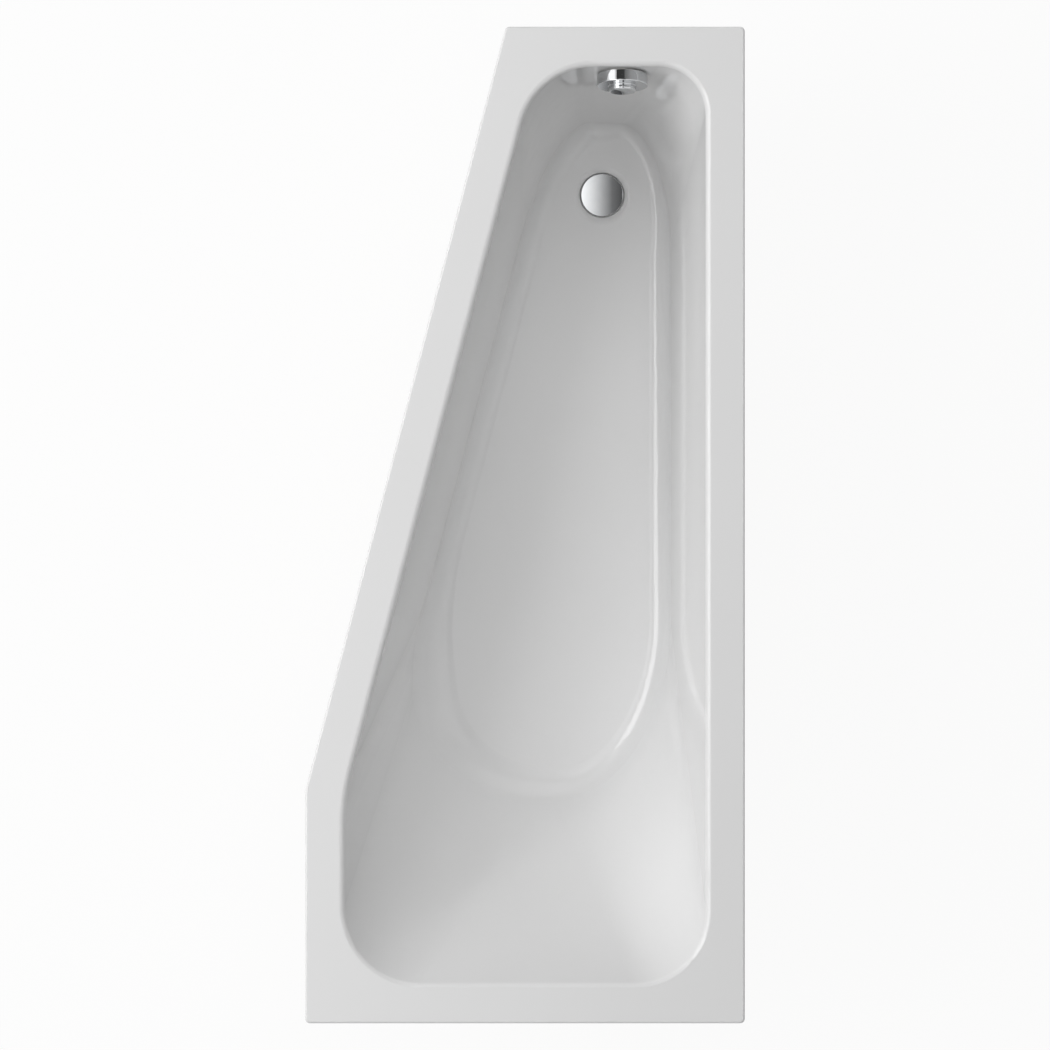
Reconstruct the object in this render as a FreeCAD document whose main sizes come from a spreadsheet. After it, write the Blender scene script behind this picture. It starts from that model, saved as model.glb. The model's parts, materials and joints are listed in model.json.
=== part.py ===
import FreeCAD, Part
import math
import os
import re
import Sketcher
from FreeCAD import Placement, Rotation, Vector

# An acrylic bathtub with one slanted side, its frame, its feet and its turn-knob waste set.
# +X is the long straight wall side, +Y the narrow drain end, +Z up; the origin lies on the
# floor under the middle of the tub. Lengths are in millimetres, angles in degrees.
SIZES = {
    # plan of the tub and its levels
    "bath_length": 1700,
    "bath_width": 750,
    "drain_end_width": 408,
    "straight_side_length": 397,
    "rim_height": 590,
    "inner_depth": 420,
    "floor_fall": 10,
    "shell_wall": 5,
    "skirt_height": 38,
    # rim: its width on each side and the rounding of its corners and edges
    "rim_width": 66,
    "slant_rim_width": 68,
    "rim_corner_radius": 8,
    "rim_kink_radius": 30,
    "rim_edge_radius": 4,
    "opening_edge_radius": 10,
    "under_rim_radius": 14,
    # corners of the opening, seen from above
    "opening_drain_wall_radius": 80,
    "opening_drain_slant_radius": 128,
    "opening_kink_radius": 410,
    "opening_foot_left_radius": 128,
    "opening_foot_wall_radius": 119,
    # how far each wall runs inward from the opening down to the floor
    "wall_side_run": 52,
    "drain_end_run": 67,
    "slant_side_run": 46,
    "left_side_run": 126,
    "backrest_run": 310,
    # corners of the floor: where the rounding starts and ends along the two sides it joins
    "floor_drain_wall_start": 223,
    "floor_drain_wall_end": 90,
    "floor_drain_slant_start": 72,
    "floor_drain_slant_end": 212,
    "floor_kink_radius": 372,
    "floor_foot_left_start": 230,
    "floor_foot_left_end": 219,
    "floor_foot_wall_start": 207,
    "floor_foot_wall_end": 338,
    "floor_edge_radius": 38,
    "drain_end_edge_radius": 22,
    "backrest_edge_radius": 95,
    # drain, its shallow dish and the well in the middle of it that the plug lies in
    "drain_from_wall": 236,
    "drain_from_end": 256,
    "dish_radius": 49,
    "dish_depth": 3.5,
    "dish_lip_radius": 15,
    "well_radius": 40.2,
    "well_depth": 9,
    "well_lip_radius": 1.5,
    "well_foot_radius": 2.5,
    "waste_hole_radius": 26,
    # overflow hole in the drain end wall
    "overflow_from_wall": 208,
    "overflow_below_rim": 56,
    # bottom board and rim battens
    "board_thickness": 16,
    "board_inset": 40,
    "board_to_drain": 90,
    "batten_width": 30,
    "batten_height": 18,
    "batten_setback": 9,
    "batten_end_gap": 70,
    # leg rails
    "front_rail_from_drain": 214,
    "rear_rail_from_foot": 520,
    "rail_width": 40,
    "rail_height": 25,
    "rail_sheet": 2.5,
    "rail_setback": 30,
    "rail_screw_spacing": 60,
    "rail_screw_radius": 2,
    "rail_screw_head_radius": 4.5,
    "rail_screw_head_height": 2.5,
    "rail_screw_length": 14,
    # adjustable legs
    "leg_from_rail_end": 25,
    "rod_radius": 5,
    "rod_stand": 32,
    "rod_hole_radius": 5.5,
    "nut_corner_radius": 9.8,
    "weld_nut_height": 8,
    "lock_nut_height": 6,
    "pad_radius": 25,
    "pad_neck_radius": 14,
    "pad_edge_height": 6,
    "pad_height": 20,
    "pad_socket_depth": 12,
    # drain flange and plug
    "flange_gasket_thickness": 1.5,
    "flange_gasket_radius": 35,
    "flange_radius": 36,
    "flange_thickness": 2.5,
    "tail_radius": 24,
    "tail_wall": 3,
    "tail_length": 28,
    "guide_radius": 8,
    "guide_height": 10,
    "guide_drop": 10,
    "flange_spoke_width": 4,
    "plug_radius": 37.7,
    "plug_edge_thickness": 2.5,
    "plug_crown": 2,
    "plug_seal_radius": 28,
    "plug_seal_thickness": 2.5,
    "plug_collar_radius": 20,
    "plug_collar_height": 5,
    "plug_stem_radius": 5,
    # lift pin and lever
    "pin_radius": 4,
    "pin_stand": 4,
    "pin_collar_radius": 6.5,
    "pin_collar_height": 3,
    "lever_reach": 42,
    "lever_rise": 7.7,
    "lever_drop": 9,
    "lever_width": 10,
    "lever_hub_radius": 5,
    "lever_arm_thickness": 5,
    "lever_tip_radius": 3,
    "lever_foot_radius": 2.5,
    "lever_swing": 16.5,
    "axle_radius": 2,
    # drain body
    "drain_gasket_thickness": 4,
    "drain_gasket_bore": 26.5,
    "body_collar_radius": 40,
    "body_collar_thickness": 5,
    "body_neck_radius": 30,
    "body_neck_height": 13,
    "pot_radius": 36,
    "pot_wall": 3,
    "pot_height": 45,
    "pivot_height": 17,
    "inlet_height": 22.5,
    "inlet_length": 75,
    "chamber_reach": 78,
    "chamber_width": 22,
    "chamber_height": 36,
    # trap and outlet
    "waste_pipe_radius": 20,
    "waste_pipe_wall": 3,
    "outlet_tail_length": 14,
    "waste_seal_thickness": 3,
    "waste_nut_radius": 27,
    "waste_nut_height": 18,
    "trap_inlet_drop": 6,
    "trap_bend_radius": 34,
    "trap_rise": 10,
    "trap_elbow_radius": 30,
    "trap_outlet_length": 23,
    "outlet_pipe_length": 67,
    # overflow body, flange and screws
    "overflow_gasket_thickness": 4,
    "overflow_collar_radius": 38,
    "overflow_collar_thickness": 5,
    "overflow_pot_radius": 31,
    "overflow_pot_depth": 42,
    "overflow_ring_radius": 34,
    "overflow_ring_bore": 22,
    "overflow_ring_thickness": 3,
    "bearing_radius": 9,
    "bearing_depth": 10,
    "overflow_spoke_width": 8,
    "overflow_screw_circle": 18,
    "overflow_screw_radius": 2,
    "overflow_screw_head_radius": 4.5,
    "overflow_screw_head_height": 2.5,
    "overflow_screw_bite": 25,
    "screw_boss_radius": 4.5,
    # overflow pipe and its unions
    "overflow_pipe_radius": 16,
    "overflow_pipe_wall": 2,
    "overflow_pipe_bend": 60,
    "spigot_length": 66,
    "socket_wall": 3,
    "socket_depth": 20,
    "union_radius": 24.5,
    "union_height": 20,
    "union_lip": 4,
    "union_seal_thickness": 6,
    # knob, spindle and cam
    "knob_radius": 43.7,
    "knob_wall": 3,
    "knob_gap": 3,
    "knob_depth": 19,
    "knob_chamfer": 1.5,
    "knob_boss_radius": 23.4,
    "knob_boss_depth": 10,
    "knob_hub_radius": 9,
    "knob_hub_gap": 4,
    "spindle_radius": 4,
    "spindle_in_knob": 20,
    "cam_radius": 9,
    "cam_width": 8,
    "cam_depth": 40,
    # push cable between the knob's cam and the lever
    "sheath_radius": 2.5,
    "wire_radius": 1,
    "cable_boss_radius": 6,
    "cable_boss_reach": 46,
    "ferrule_radius": 4.5,
    "ferrule_length": 14,
    "cable_side_offset": 145,
    # fits
    "running_gap": 0.06,
    "loose_gap": 0.3,
    "cut_overrun": 2,
    "edge_tolerance": 0.5,
}
# largest part of a side that its two corners may take, and of a run that a cable's bend may take
CORNER_SHARE = 0.98
BEND_SHARE = 0.45

doc = FreeCAD.newDocument("asymmetric_bathtub")
sheet = doc.addObject("Spreadsheet::Sheet", "sizes")
for row, (alias, number) in enumerate(SIZES.items(), start=1):
    sheet.set(f"A{row}", alias)
    sheet.set(f"B{row}", str(number))
    sheet.setAlias(f"B{row}", alias)
doc.recompute()

NODES = []


def bound(text):
    """The expression with every size named together with its sheet."""
    return re.sub(r"\b[a-z]+(?:_[a-z]+)+\b", lambda word: f"sizes.{word.group()}", text)


def size(text):
    """The number that an expression of sizes gives."""
    return float(sheet.evalExpression(bound(text)))


def node(thing, label):
    """Name a finished sub-part and list it for writing."""
    thing.Label = label
    NODES.append(thing)
    return thing


# Building blocks shared by the sub-parts

def turned(name, profile, placement=None):
    """A body turned about Z from a closed profile of (radius, height) expressions."""
    body = doc.addObject("PartDesign::Body", name)
    sketch = body.newObject("Sketcher::SketchObject", name + "_profile")
    plane = [item for item in body.Origin.OriginFeatures if item.Role == "XZ_Plane"][0]
    sketch.AttachmentSupport = [(plane, "")]
    sketch.MapMode = "FlatFace"
    points = [Vector(size(radius), size(height), 0) for radius, height in profile]
    count = len(points)
    for i in range(count):
        sketch.addGeometry(Part.LineSegment(points[i], points[(i + 1) % count]), False)
    for i in range(count):
        sketch.addConstraint(Sketcher.Constraint("Coincident", i, 2, (i + 1) % count, 1))
    for i, expressions in enumerate(profile):
        for kind, axis, text, at in zip(("DistanceX", "DistanceY"), (-2, -1), expressions, points[i]):
            if at == 0:
                sketch.addConstraint(Sketcher.Constraint("PointOnObject", i, 1, axis))
                continue
            index = sketch.addConstraint(Sketcher.Constraint(kind, -1, 1, i, 1, at))
            sketch.setExpression(f"Constraints[{index}]", bound(text))
    turn = body.newObject("PartDesign::Revolution", name + "_turn")
    turn.Profile = sketch
    turn.ReferenceAxis = (sketch, ["V_Axis"])
    turn.Angle = 360
    body.Tip = turn
    if placement is not None:
        body.Placement = placement
    return body


def ring(name, bore, radius, height, placement=None):
    """A flat ring that stands on its own XY plane."""
    return turned(name, [(bore, "0"), (radius, "0"), (radius, height), (bore, height)], placement)


def primitive(kind, name, sizes, placement):
    """A Part primitive whose properties are bound to the sheet."""
    thing = doc.addObject("Part::" + kind, name)
    for prop, text in sizes.items():
        thing.setExpression(prop, bound(text))
    thing.Placement = placement
    return thing


def rod(name, radius, length, placement):
    return primitive("Cylinder", name, {"Radius": radius, "Height": length}, placement)


def block(name, length, width, height, placement):
    return primitive("Box", name, {"Length": length, "Width": width, "Height": height}, placement)


def joined(name, things):
    fuse = doc.addObject("Part::MultiFuse", name)
    fuse.Shapes = things
    return fuse


def cut(name, base, tool):
    thing = doc.addObject("Part::Cut", name)
    thing.Base = base
    thing.Tool = tool
    return thing


def group(name, things):
    """Separate solids that share one node."""
    compound = doc.addObject("Part::Compound", name)
    compound.Links = things
    return compound


def solid(name, shape):
    feature = doc.addObject("Part::Feature", name)
    feature.Shape = shape
    return feature


def at(x, y, z, rotation=Rotation()):
    return Placement(Vector(x, y, z), rotation)


def facing(direction):
    """The turn that points a piece's own Z along a direction."""
    return Rotation(Vector(0, 0, 1), direction)


ALONG_X = facing(Vector(1, 0, 0))
BACK_X = facing(Vector(-1, 0, 0))
BACK_Y = facing(Vector(0, -1, 0))
DOWN = facing(Vector(0, 0, -1))


# Route of a pipe or cable: straight runs joined by tangent arcs

def route(points, radii):
    edges = []
    start = points[0]
    for before, corner, after, radius in zip(points, points[1:], points[2:], radii):
        come = (corner - before).normalize()
        leave = (after - corner).normalize()
        reach = radius * math.tan(come.getAngle(leave) / 2)
        first = corner - come * reach
        last = corner + leave * reach
        inward = (leave - come).normalize()
        middle = corner + inward * (math.hypot(radius, reach) - radius)
        if (first - start).Length > size("edge_tolerance"):
            edges.append(Part.LineSegment(start, first).toShape())
        edges.append(Part.Arc(first, middle, last).toShape())
        start = last
    edges.append(Part.LineSegment(start, points[-1]).toShape())
    return Part.Wire(edges)


def swept(name, path, radius):
    """A round bar swept along a route."""
    spine = solid(name + "_route", path)
    first = path.Edges[0]
    section = primitive("Circle", name + "_section", {"Radius": radius},
                        Placement(first.valueAt(first.FirstParameter),
                                  facing(first.tangentAt(first.FirstParameter))))
    sweep = doc.addObject("Part::Sweep", name)
    sweep.Sections = [section]
    sweep.Spine = (spine, [f"Edge{i + 1}" for i in range(len(path.Edges))])
    sweep.Solid = True
    sweep.Frenet = False
    return sweep


def tube(name, path, radius, bore):
    return cut(name, swept(name + "_outside", path, radius), swept(name + "_bore", path, bore))


# Plan of the tub: five straight sides joined by five rounded corners

RIGHT = size("bath_width / 2")
LEFT = -RIGHT
DRAIN_END = size("bath_length / 2")
FOOT_END = -DRAIN_END
KINK_Y = FOOT_END + size("straight_side_length")
SLANT_TOP_X = RIGHT - size("drain_end_width")
SLANT = Vector(LEFT - SLANT_TOP_X, KINK_Y - DRAIN_END, 0).normalize()
SLANT_INWARD = Vector(-SLANT.y, SLANT.x, 0)

# A corner is a radius, or the lengths that its rounding takes of the sides before and after it.
RIM_CORNERS = [
    ("rim_corner_radius",),
    ("rim_corner_radius",),
    ("rim_kink_radius",),
    ("rim_corner_radius",),
    ("rim_corner_radius",),
]
OPENING_CORNERS = [
    ("opening_drain_wall_radius",),
    ("opening_drain_slant_radius",),
    ("opening_kink_radius",),
    ("opening_foot_left_radius",),
    ("opening_foot_wall_radius",),
]
FLOOR_CORNERS = [
    ("floor_drain_wall_start", "floor_drain_wall_end"),
    ("floor_drain_slant_start", "floor_drain_slant_end"),
    ("floor_kink_radius",),
    ("floor_foot_left_start", "floor_foot_left_end"),
    ("floor_foot_wall_start", "floor_foot_wall_end"),
]
RIM_SETBACKS = ["0"] * len(RIM_CORNERS)
OPENING_SETBACKS = ["rim_width", "rim_width", "slant_rim_width", "rim_width", "rim_width"]
WALL_RUNS = ["wall_side_run", "drain_end_run", "slant_side_run", "left_side_run", "backrest_run"]
FLOOR_SETBACKS = [f"{edge} + {run}" for edge, run in zip(OPENING_SETBACKS, WALL_RUNS)]


def plan_sides(setbacks, inset):
    """The five sides as (point, direction), counter-clockwise from the wall side."""
    wall, end, slant, left, foot = [size(text) + inset for text in setbacks]
    return [
        (Vector(RIGHT - wall, 0, 0), Vector(0, 1, 0)),
        (Vector(0, DRAIN_END - end, 0), Vector(-1, 0, 0)),
        (Vector(SLANT_TOP_X, DRAIN_END, 0) + SLANT_INWARD * slant, SLANT),
        (Vector(LEFT + left, 0, 0), Vector(0, -1, 0)),
        (Vector(0, FOOT_END + foot, 0), Vector(1, 0, 0)),
    ]


def meeting_point(one, other):
    (p, d), (q, e) = one, other
    along = ((q.x - p.x) * e.y - (q.y - p.y) * e.x) / (d.x * e.y - d.y * e.x)
    return p + d * along


def outline(setbacks, corners, level, inset=0.0):
    """The closed wire of a plan, each point at the height that level gives for its Y."""
    sides = plan_sides(setbacks, inset)
    nexts = sides[1:] + sides[:1]
    points = [meeting_point(side, after) for side, after in zip(sides, nexts)]
    halves = [side[1].getAngle(after[1]) / 2 for side, after in zip(sides, nexts)]
    reaches = []
    for names, half in zip(corners, halves):
        if len(names) == 1:
            pair = [size(names[0]) * math.tan(half)] * 2
        else:
            pair = [size(name) for name in names]
        reaches.append([reach - inset * math.tan(half) for reach in pair])
    for i in range(len(sides)):
        room = CORNER_SHARE * (points[i] - points[i - 1]).Length
        limit = min(1, room / (reaches[i - 1][1] + reaches[i][0]))
        reaches[i - 1][1] *= limit
        reaches[i][0] *= limit
    edges = []
    starts = [point - side[1] * reach[0] for point, side, reach in zip(points, sides, reaches)]
    ends = [point + after[1] * reach[1] for point, after, reach in zip(points, nexts, reaches)]
    for i in range(len(sides)):
        last, first, corner, end = [
            Vector(p.x, p.y, level(p.y)) for p in (ends[i - 1], starts[i], points[i], ends[i])
        ]
        edges.append(Part.LineSegment(last, first).toShape())
        bend = Part.BezierCurve()
        bend.setPoles([first, corner, end])
        bend.setWeight(2, math.cos(halves[i]))
        edges.append(bend.toShape())
    return Part.Wire(edges)


# Levels and reference points

WALL = size("shell_wall")
RIM = size("rim_height")
DRAIN = Vector(RIGHT - size("drain_from_wall"), DRAIN_END - size("drain_from_end"), 0)
FLOOR_AT_DRAIN = RIM - size("inner_depth")
FLOOR_FOOT_Y = FOOT_END + size(FLOOR_SETBACKS[-1])
FLOOR_SLOPE = size("floor_fall") / (DRAIN.y - FLOOR_FOOT_Y)


def rim_level(y):
    return RIM


def under_rim_level(y):
    return RIM - WALL


def floor_level(y):
    return FLOOR_AT_DRAIN + FLOOR_SLOPE * (DRAIN.y - y)


def under_floor_level(y):
    return floor_level(y) - WALL


# The outside reaches one wall lower than the floor, down the same slopes of the walls.
END_TOP_Y = DRAIN_END - size("rim_width")
END_FOOT_Y = END_TOP_Y - size("drain_end_run")
DEPTHS = [size("inner_depth")] * len(WALL_RUNS)
DEPTHS[WALL_RUNS.index("drain_end_run")] = RIM - floor_level(END_FOOT_Y)
UNDER_FLOOR_SETBACKS = [f"{setback} + {run} * shell_wall / ({depth})"
                        for setback, run, depth in zip(FLOOR_SETBACKS, WALL_RUNS, DEPTHS)]

# frame of the drain: its origin is the middle of the seat at the foot of the well
SEAT = FLOOR_AT_DRAIN - size("well_depth")
DRAIN_FRAME = at(DRAIN.x, DRAIN.y, SEAT)

# frame of the overflow: its origin lies on the inner face of the drain end wall, +Z points
# into the tub and +Y up along the wall
LEAN = math.atan2(size("drain_end_run"), RIM - floor_level(END_FOOT_Y))
OVERFLOW_FRAME = at(
    RIGHT - size("overflow_from_wall"),
    END_TOP_Y - size("overflow_below_rim") * math.tan(LEAN),
    RIM - size("overflow_below_rim"),
    Rotation(Vector(1, 0, 0), 90 - math.degrees(LEAN)),
)
END_WALL = WALL * math.cos(LEAN)
BEHIND_WALL = OVERFLOW_FRAME * at(0, 0, -END_WALL - size("running_gap"))


def edges_at(shape, level):
    """The edges of a shape that lie at a level."""
    near = size("edge_tolerance")
    found = []
    for edge in shape.Edges:
        ends = [edge.valueAt(edge.FirstParameter), edge.valueAt(edge.LastParameter)]
        middle = edge.valueAt((edge.FirstParameter + edge.LastParameter) / 2)
        if all(abs(point.z - level(point.y)) < near for point in ends + [middle]):
            found.append(edge)
    return found


def edges_near(shape, level, wire, reach):
    """The edges at a level that lie along a wire, not just beside its end."""
    found = []
    for edge in edges_at(shape, level):
        middle = edge.valueAt((edge.FirstParameter + edge.LastParameter) / 2)
        if wire.distToShape(Part.Vertex(middle))[0] < reach:
            found.append(edge)
    return found


# Shell: a lofted basin under a flat rim with a turned-down skirt, all of one wall

DISH_FOOT = FLOOR_AT_DRAIN - size("dish_depth")


def recess(grow):
    """The dish and the well around the drain, as a cone that reaches above the floor on a round block."""
    top = size("dish_radius") + grow
    well = size("well_radius") + grow
    depth = size("dish_depth")
    above = size("cut_overrun")
    widening = (top - well) / depth * above
    down = Vector(0, 0, grow)
    dish = Part.makeCone(well, top + widening, depth + above, Vector(DRAIN.x, DRAIN.y, DISH_FOOT) - down)
    return dish.fuse(Part.makeCylinder(well, DISH_FOOT - SEAT, DRAIN_FRAME.Base - down))


def basin(name, floor_wire, opening_wire, level, grow):
    """A basin-shaped solid with the drain's recess; its floor edge is softest under the backrest."""
    loft = Part.makeLoft([floor_wire, opening_wire], True, True)
    around = edges_at(loft, level)
    backrest_y = min(edge.BoundBox.YMin for edge in around) + size("edge_tolerance")
    end_wall_y = max(edge.BoundBox.YMax for edge in around) - size("edge_tolerance")

    def edge_radius(end):
        if end.y < backrest_y:
            return size("backrest_edge_radius") + grow
        if end.y > end_wall_y:
            return size("drain_end_edge_radius") + grow
        return size("floor_edge_radius") + grow

    rows = []
    for number, edge in enumerate(loft.Edges, start=1):
        if any(edge.isSame(other) for other in around):
            ends = [edge.valueAt(edge.FirstParameter), edge.valueAt(edge.LastParameter)]
            rows.append((number, *[edge_radius(end) for end in ends]))
    rounded = doc.addObject("Part::Fillet", name)
    rounded.Base = solid(name + "_loft", loft)
    rounded.Edges = rows
    doc.recompute()
    return rounded.Shape.fuse(recess(grow))


def recess_edges(shape, radius, height):
    """The round edge of the recess that has about this radius and height."""
    near = size("edge_tolerance")
    found = []
    for edge in shape.Edges:
        middle = edge.BoundBox.Center
        reach = max(edge.BoundBox.XLength, edge.BoundBox.YLength) / 2
        beside = math.hypot(middle.x - DRAIN.x, middle.y - DRAIN.y)
        if beside < size("well_depth") and abs(reach - radius) < near and abs(middle.z - height) < near:
            found.append(edge)
    return found


def shell_shape():
    opening = outline(OPENING_SETBACKS, OPENING_CORNERS, rim_level)
    floor = outline(FLOOR_SETBACKS, FLOOR_CORNERS, floor_level)
    around_opening = outline(OPENING_SETBACKS, OPENING_CORNERS, rim_level, -WALL)
    under_floor = outline(UNDER_FLOOR_SETBACKS, FLOOR_CORNERS, under_floor_level, -WALL)
    inside = basin("basin_inside", floor, opening, floor_level, 0)
    for rounding, radius, height in (
        ("dish_lip_radius", "dish_radius", FLOOR_AT_DRAIN),
        ("well_lip_radius", "well_radius", DISH_FOOT),
        ("well_foot_radius", "well_radius", SEAT),
    ):
        inside = inside.makeFillet(size(rounding), recess_edges(inside, size(radius), height))
    outside = basin("basin_outside", under_floor, around_opening, under_floor_level, WALL)

    skirt_foot = RIM - size("skirt_height")
    overrun = size("cut_overrun")
    rim = Part.Face(outline(RIM_SETBACKS, RIM_CORNERS, lambda y: skirt_foot))
    rim = rim.extrude(Vector(0, 0, size("skirt_height")))
    rim = rim.makeFillet(size("rim_edge_radius"), edges_at(rim, rim_level))
    hollow = Part.Face(outline(RIM_SETBACKS, RIM_CORNERS, lambda y: skirt_foot - overrun, WALL))
    hollow = hollow.extrude(Vector(0, 0, size("skirt_height") + overrun - WALL))
    shell = rim.cut(hollow).fuse(outside).cut(inside)
    shell = shell.makeFillet(size("opening_edge_radius"), edges_near(shell, rim_level, opening, WALL))
    under = edges_near(shell, under_rim_level, around_opening, size("rim_width / 4"))
    return shell.makeFillet(size("under_rim_radius"), under)


through_wall = "2 * shell_wall + 2 * cut_overrun"
past_wall = size("shell_wall + cut_overrun")
drain_hole = rod("drain_hole", "waste_hole_radius", through_wall, DRAIN_FRAME * at(0, 0, -past_wall))
overflow_hole = rod("overflow_hole", "waste_hole_radius", through_wall, OVERFLOW_FRAME * at(0, 0, -past_wall))
node(cut("shell", solid("shell_blank", shell_shape()), joined("shell_holes", [drain_hole, overflow_hole])),
     "bath_shell")


# Frame under the shell: bottom board, rim battens and leg rails

BOARD_FOOT = FLOOR_AT_DRAIN - size("shell_wall + board_thickness")
RAIL_FOOT = BOARD_FOOT - size("rail_height")
FRONT_RAIL_Y = DRAIN.y - size("front_rail_from_drain")
REAR_RAIL_Y = FOOT_END + size("rear_rail_from_foot")


def slant_x(y):
    """X of the tub's outer left edge at a Y."""
    return max(LEFT, SLANT_TOP_X + SLANT.x / SLANT.y * (y - DRAIN_END))


def rail_ends(y):
    return slant_x(y) + size("rail_setback"), RIGHT - size("rail_setback")


def leg_places(y):
    first, last = rail_ends(y)
    return [(first + size("leg_from_rail_end"), y), (last - size("leg_from_rail_end"), y)]


def screw_places(y):
    middle = sum(rail_ends(y)) / 2
    spacing = size("rail_screw_spacing")
    return [(middle + step * spacing, y) for step in (-1, 0, 1)]


RAIL_LINES = {"front": FRONT_RAIL_Y, "rear": REAR_RAIL_Y}
SCREWS = [place for y in RAIL_LINES.values() for place in screw_places(y)]
LEGS = {
    "drain_left": leg_places(FRONT_RAIL_Y)[0],
    "drain_right": leg_places(FRONT_RAIL_Y)[1],
    "foot_left": leg_places(REAR_RAIL_Y)[0],
    "foot_right": leg_places(REAR_RAIL_Y)[1],
}


def board_shape():
    """The board fills the wedge between the sloping floor and a level underside."""
    inset = size("board_inset")
    under = outline(FLOOR_SETBACKS, FLOOR_CORNERS, lambda y: BOARD_FOOT, inset)
    over = outline(FLOOR_SETBACKS, FLOOR_CORNERS, under_floor_level, inset)
    wedge = Part.makeLoft([under, over], True, True)
    box = wedge.BoundBox
    keep_to = DRAIN.y - size("board_to_drain")
    keep = Part.makeBox(box.XLength, keep_to - box.YMin, box.ZLength, Vector(box.XMin, box.YMin, box.ZMin))
    return wedge.common(keep)


pilot_radius = "rail_screw_radius + running_gap"
pilots = [rod(f"pilot_{i}", pilot_radius, "rail_screw_length", at(x, y, BOARD_FOOT - size("rail_sheet")))
          for i, (x, y) in enumerate(SCREWS)]
node(cut("board", solid("board_blank", board_shape()), joined("board_pilots", pilots)), "base_board")

batten_top = RIM - WALL
batten_lift = batten_top - size("batten_height")


def batten(label, length, corner, direction):
    """A batten under the rim; corner is the tub's outer corner that its side starts from."""
    inward = Vector(-direction.y, direction.x, 0)
    start = corner + direction * size("batten_end_gap") + inward * size("batten_setback")
    turn = Rotation(Vector(1, 0, 0), direction)
    place = Placement(Vector(start.x, start.y, batten_lift), turn)
    node(block(label + "_bar", f"{length} - 2 * batten_end_gap", "batten_width", "batten_height", place), label)


slant_length = ("sqrt((bath_width - drain_end_width)^2 "
                "+ (bath_length - straight_side_length)^2)")
batten("batten_wall_side", "bath_length", Vector(RIGHT, FOOT_END, 0), Vector(0, 1, 0))
batten("batten_drain_end", "drain_end_width", Vector(RIGHT, DRAIN_END, 0), Vector(-1, 0, 0))
batten("batten_slant_side", slant_length, Vector(SLANT_TOP_X, DRAIN_END, 0), SLANT)
batten("batten_left_side", "straight_side_length", Vector(LEFT, KINK_Y, 0), Vector(0, -1, 0))
batten("batten_foot_end", "bath_width", Vector(LEFT, FOOT_END, 0), Vector(1, 0, 0))


def rail(name, y):
    """A steel channel, open below, with holes for its legs and screws."""
    first, last = rail_ends(y)
    back = y - size("rail_width / 2")
    length = str(last - first)
    bar = block(name + "_bar", length, "rail_width", "rail_height", at(first, back, RAIL_FOOT))
    inside = block(name + "_inside", length, "rail_width - 2 * rail_sheet", "rail_height - rail_sheet",
                   at(first, back + size("rail_sheet"), RAIL_FOOT))
    top = RAIL_FOOT + size("rail_height - rail_sheet - cut_overrun")
    depth = "rail_sheet + 2 * cut_overrun"
    holes = [rod(f"{name}_leg_hole_{i}", "rod_hole_radius", depth, at(x, y, top))
             for i, (x, y) in enumerate(leg_places(y))]
    holes += [rod(f"{name}_screw_hole_{i}", pilot_radius, depth, at(x, y, top))
              for i, (x, y) in enumerate(screw_places(y))]
    node(cut(name + "_channel", bar, joined(name + "_cuts", [inside] + holes)), name)


for place, y in RAIL_LINES.items():
    rail(place + "_leg_rail", y)


def rail_screw(name, x, y):
    head_top = size("rail_sheet")
    profile = [
        ("0", "-rail_screw_head_height"),
        ("rail_screw_head_radius", "-rail_screw_head_height"),
        ("rail_screw_head_radius", "0"),
        ("rail_screw_radius", "0"),
        ("rail_screw_radius", "rail_screw_length - loose_gap"),
        ("0", "rail_screw_length - loose_gap"),
    ]
    return turned(name, profile, at(x, y, BOARD_FOOT - head_top))


node(group("screws_of_rails", [rail_screw(f"rail_screw_{i}", x, y) for i, (x, y) in enumerate(SCREWS)]),
     "rail_screws")


# Legs: a threaded rod in the rail's nuts and a pad on the floor

WELD_NUT_FOOT = BOARD_FOOT - size("rail_sheet + weld_nut_height")
LOCK_NUT_FOOT = WELD_NUT_FOOT - size("lock_nut_height")


def nut(name, height, x, y, foot):
    prism = primitive("Prism", name + "_hexagon", {"Circumradius": "nut_corner_radius", "Height": height},
                      at(x, y, foot))
    bore = rod(name + "_bore", "rod_radius + running_gap", height + " + 2 * cut_overrun",
               at(x, y, foot - size("cut_overrun")))
    return cut(name, prism, bore)


weld_nuts = [nut(f"weld_nut_{leg}", "weld_nut_height", x, y, WELD_NUT_FOOT) for leg, (x, y) in LEGS.items()]
lock_nuts = [nut(f"lock_nut_{leg}", "lock_nut_height", x, y, LOCK_NUT_FOOT) for leg, (x, y) in LEGS.items()]
node(group("nuts_in_rails", weld_nuts), "weld_nuts")
node(group("nuts_below", lock_nuts), "lock_nuts")

rod_foot = size("pad_height - pad_socket_depth + loose_gap")
rod_length = ("rim_height - inner_depth - shell_wall - board_thickness + rod_stand"
              " - (pad_height - pad_socket_depth + loose_gap)")
pad_profile = [
    ("0", "0"),
    ("pad_radius", "0"),
    ("pad_radius", "pad_edge_height"),
    ("pad_neck_radius", "pad_height"),
    ("rod_radius + running_gap", "pad_height"),
    ("rod_radius + running_gap", "pad_height - pad_socket_depth"),
    ("0", "pad_height - pad_socket_depth"),
]
for leg, (x, y) in LEGS.items():
    node(rod(f"leg_{leg}", "rod_radius", rod_length, at(x, y, rod_foot)), f"leg_rod_{leg}")
    node(turned(f"pad_{leg}", pad_profile, at(x, y, 0)), f"foot_pad_{leg}")


# Drain: flange, plug, lift pin and lever

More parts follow.
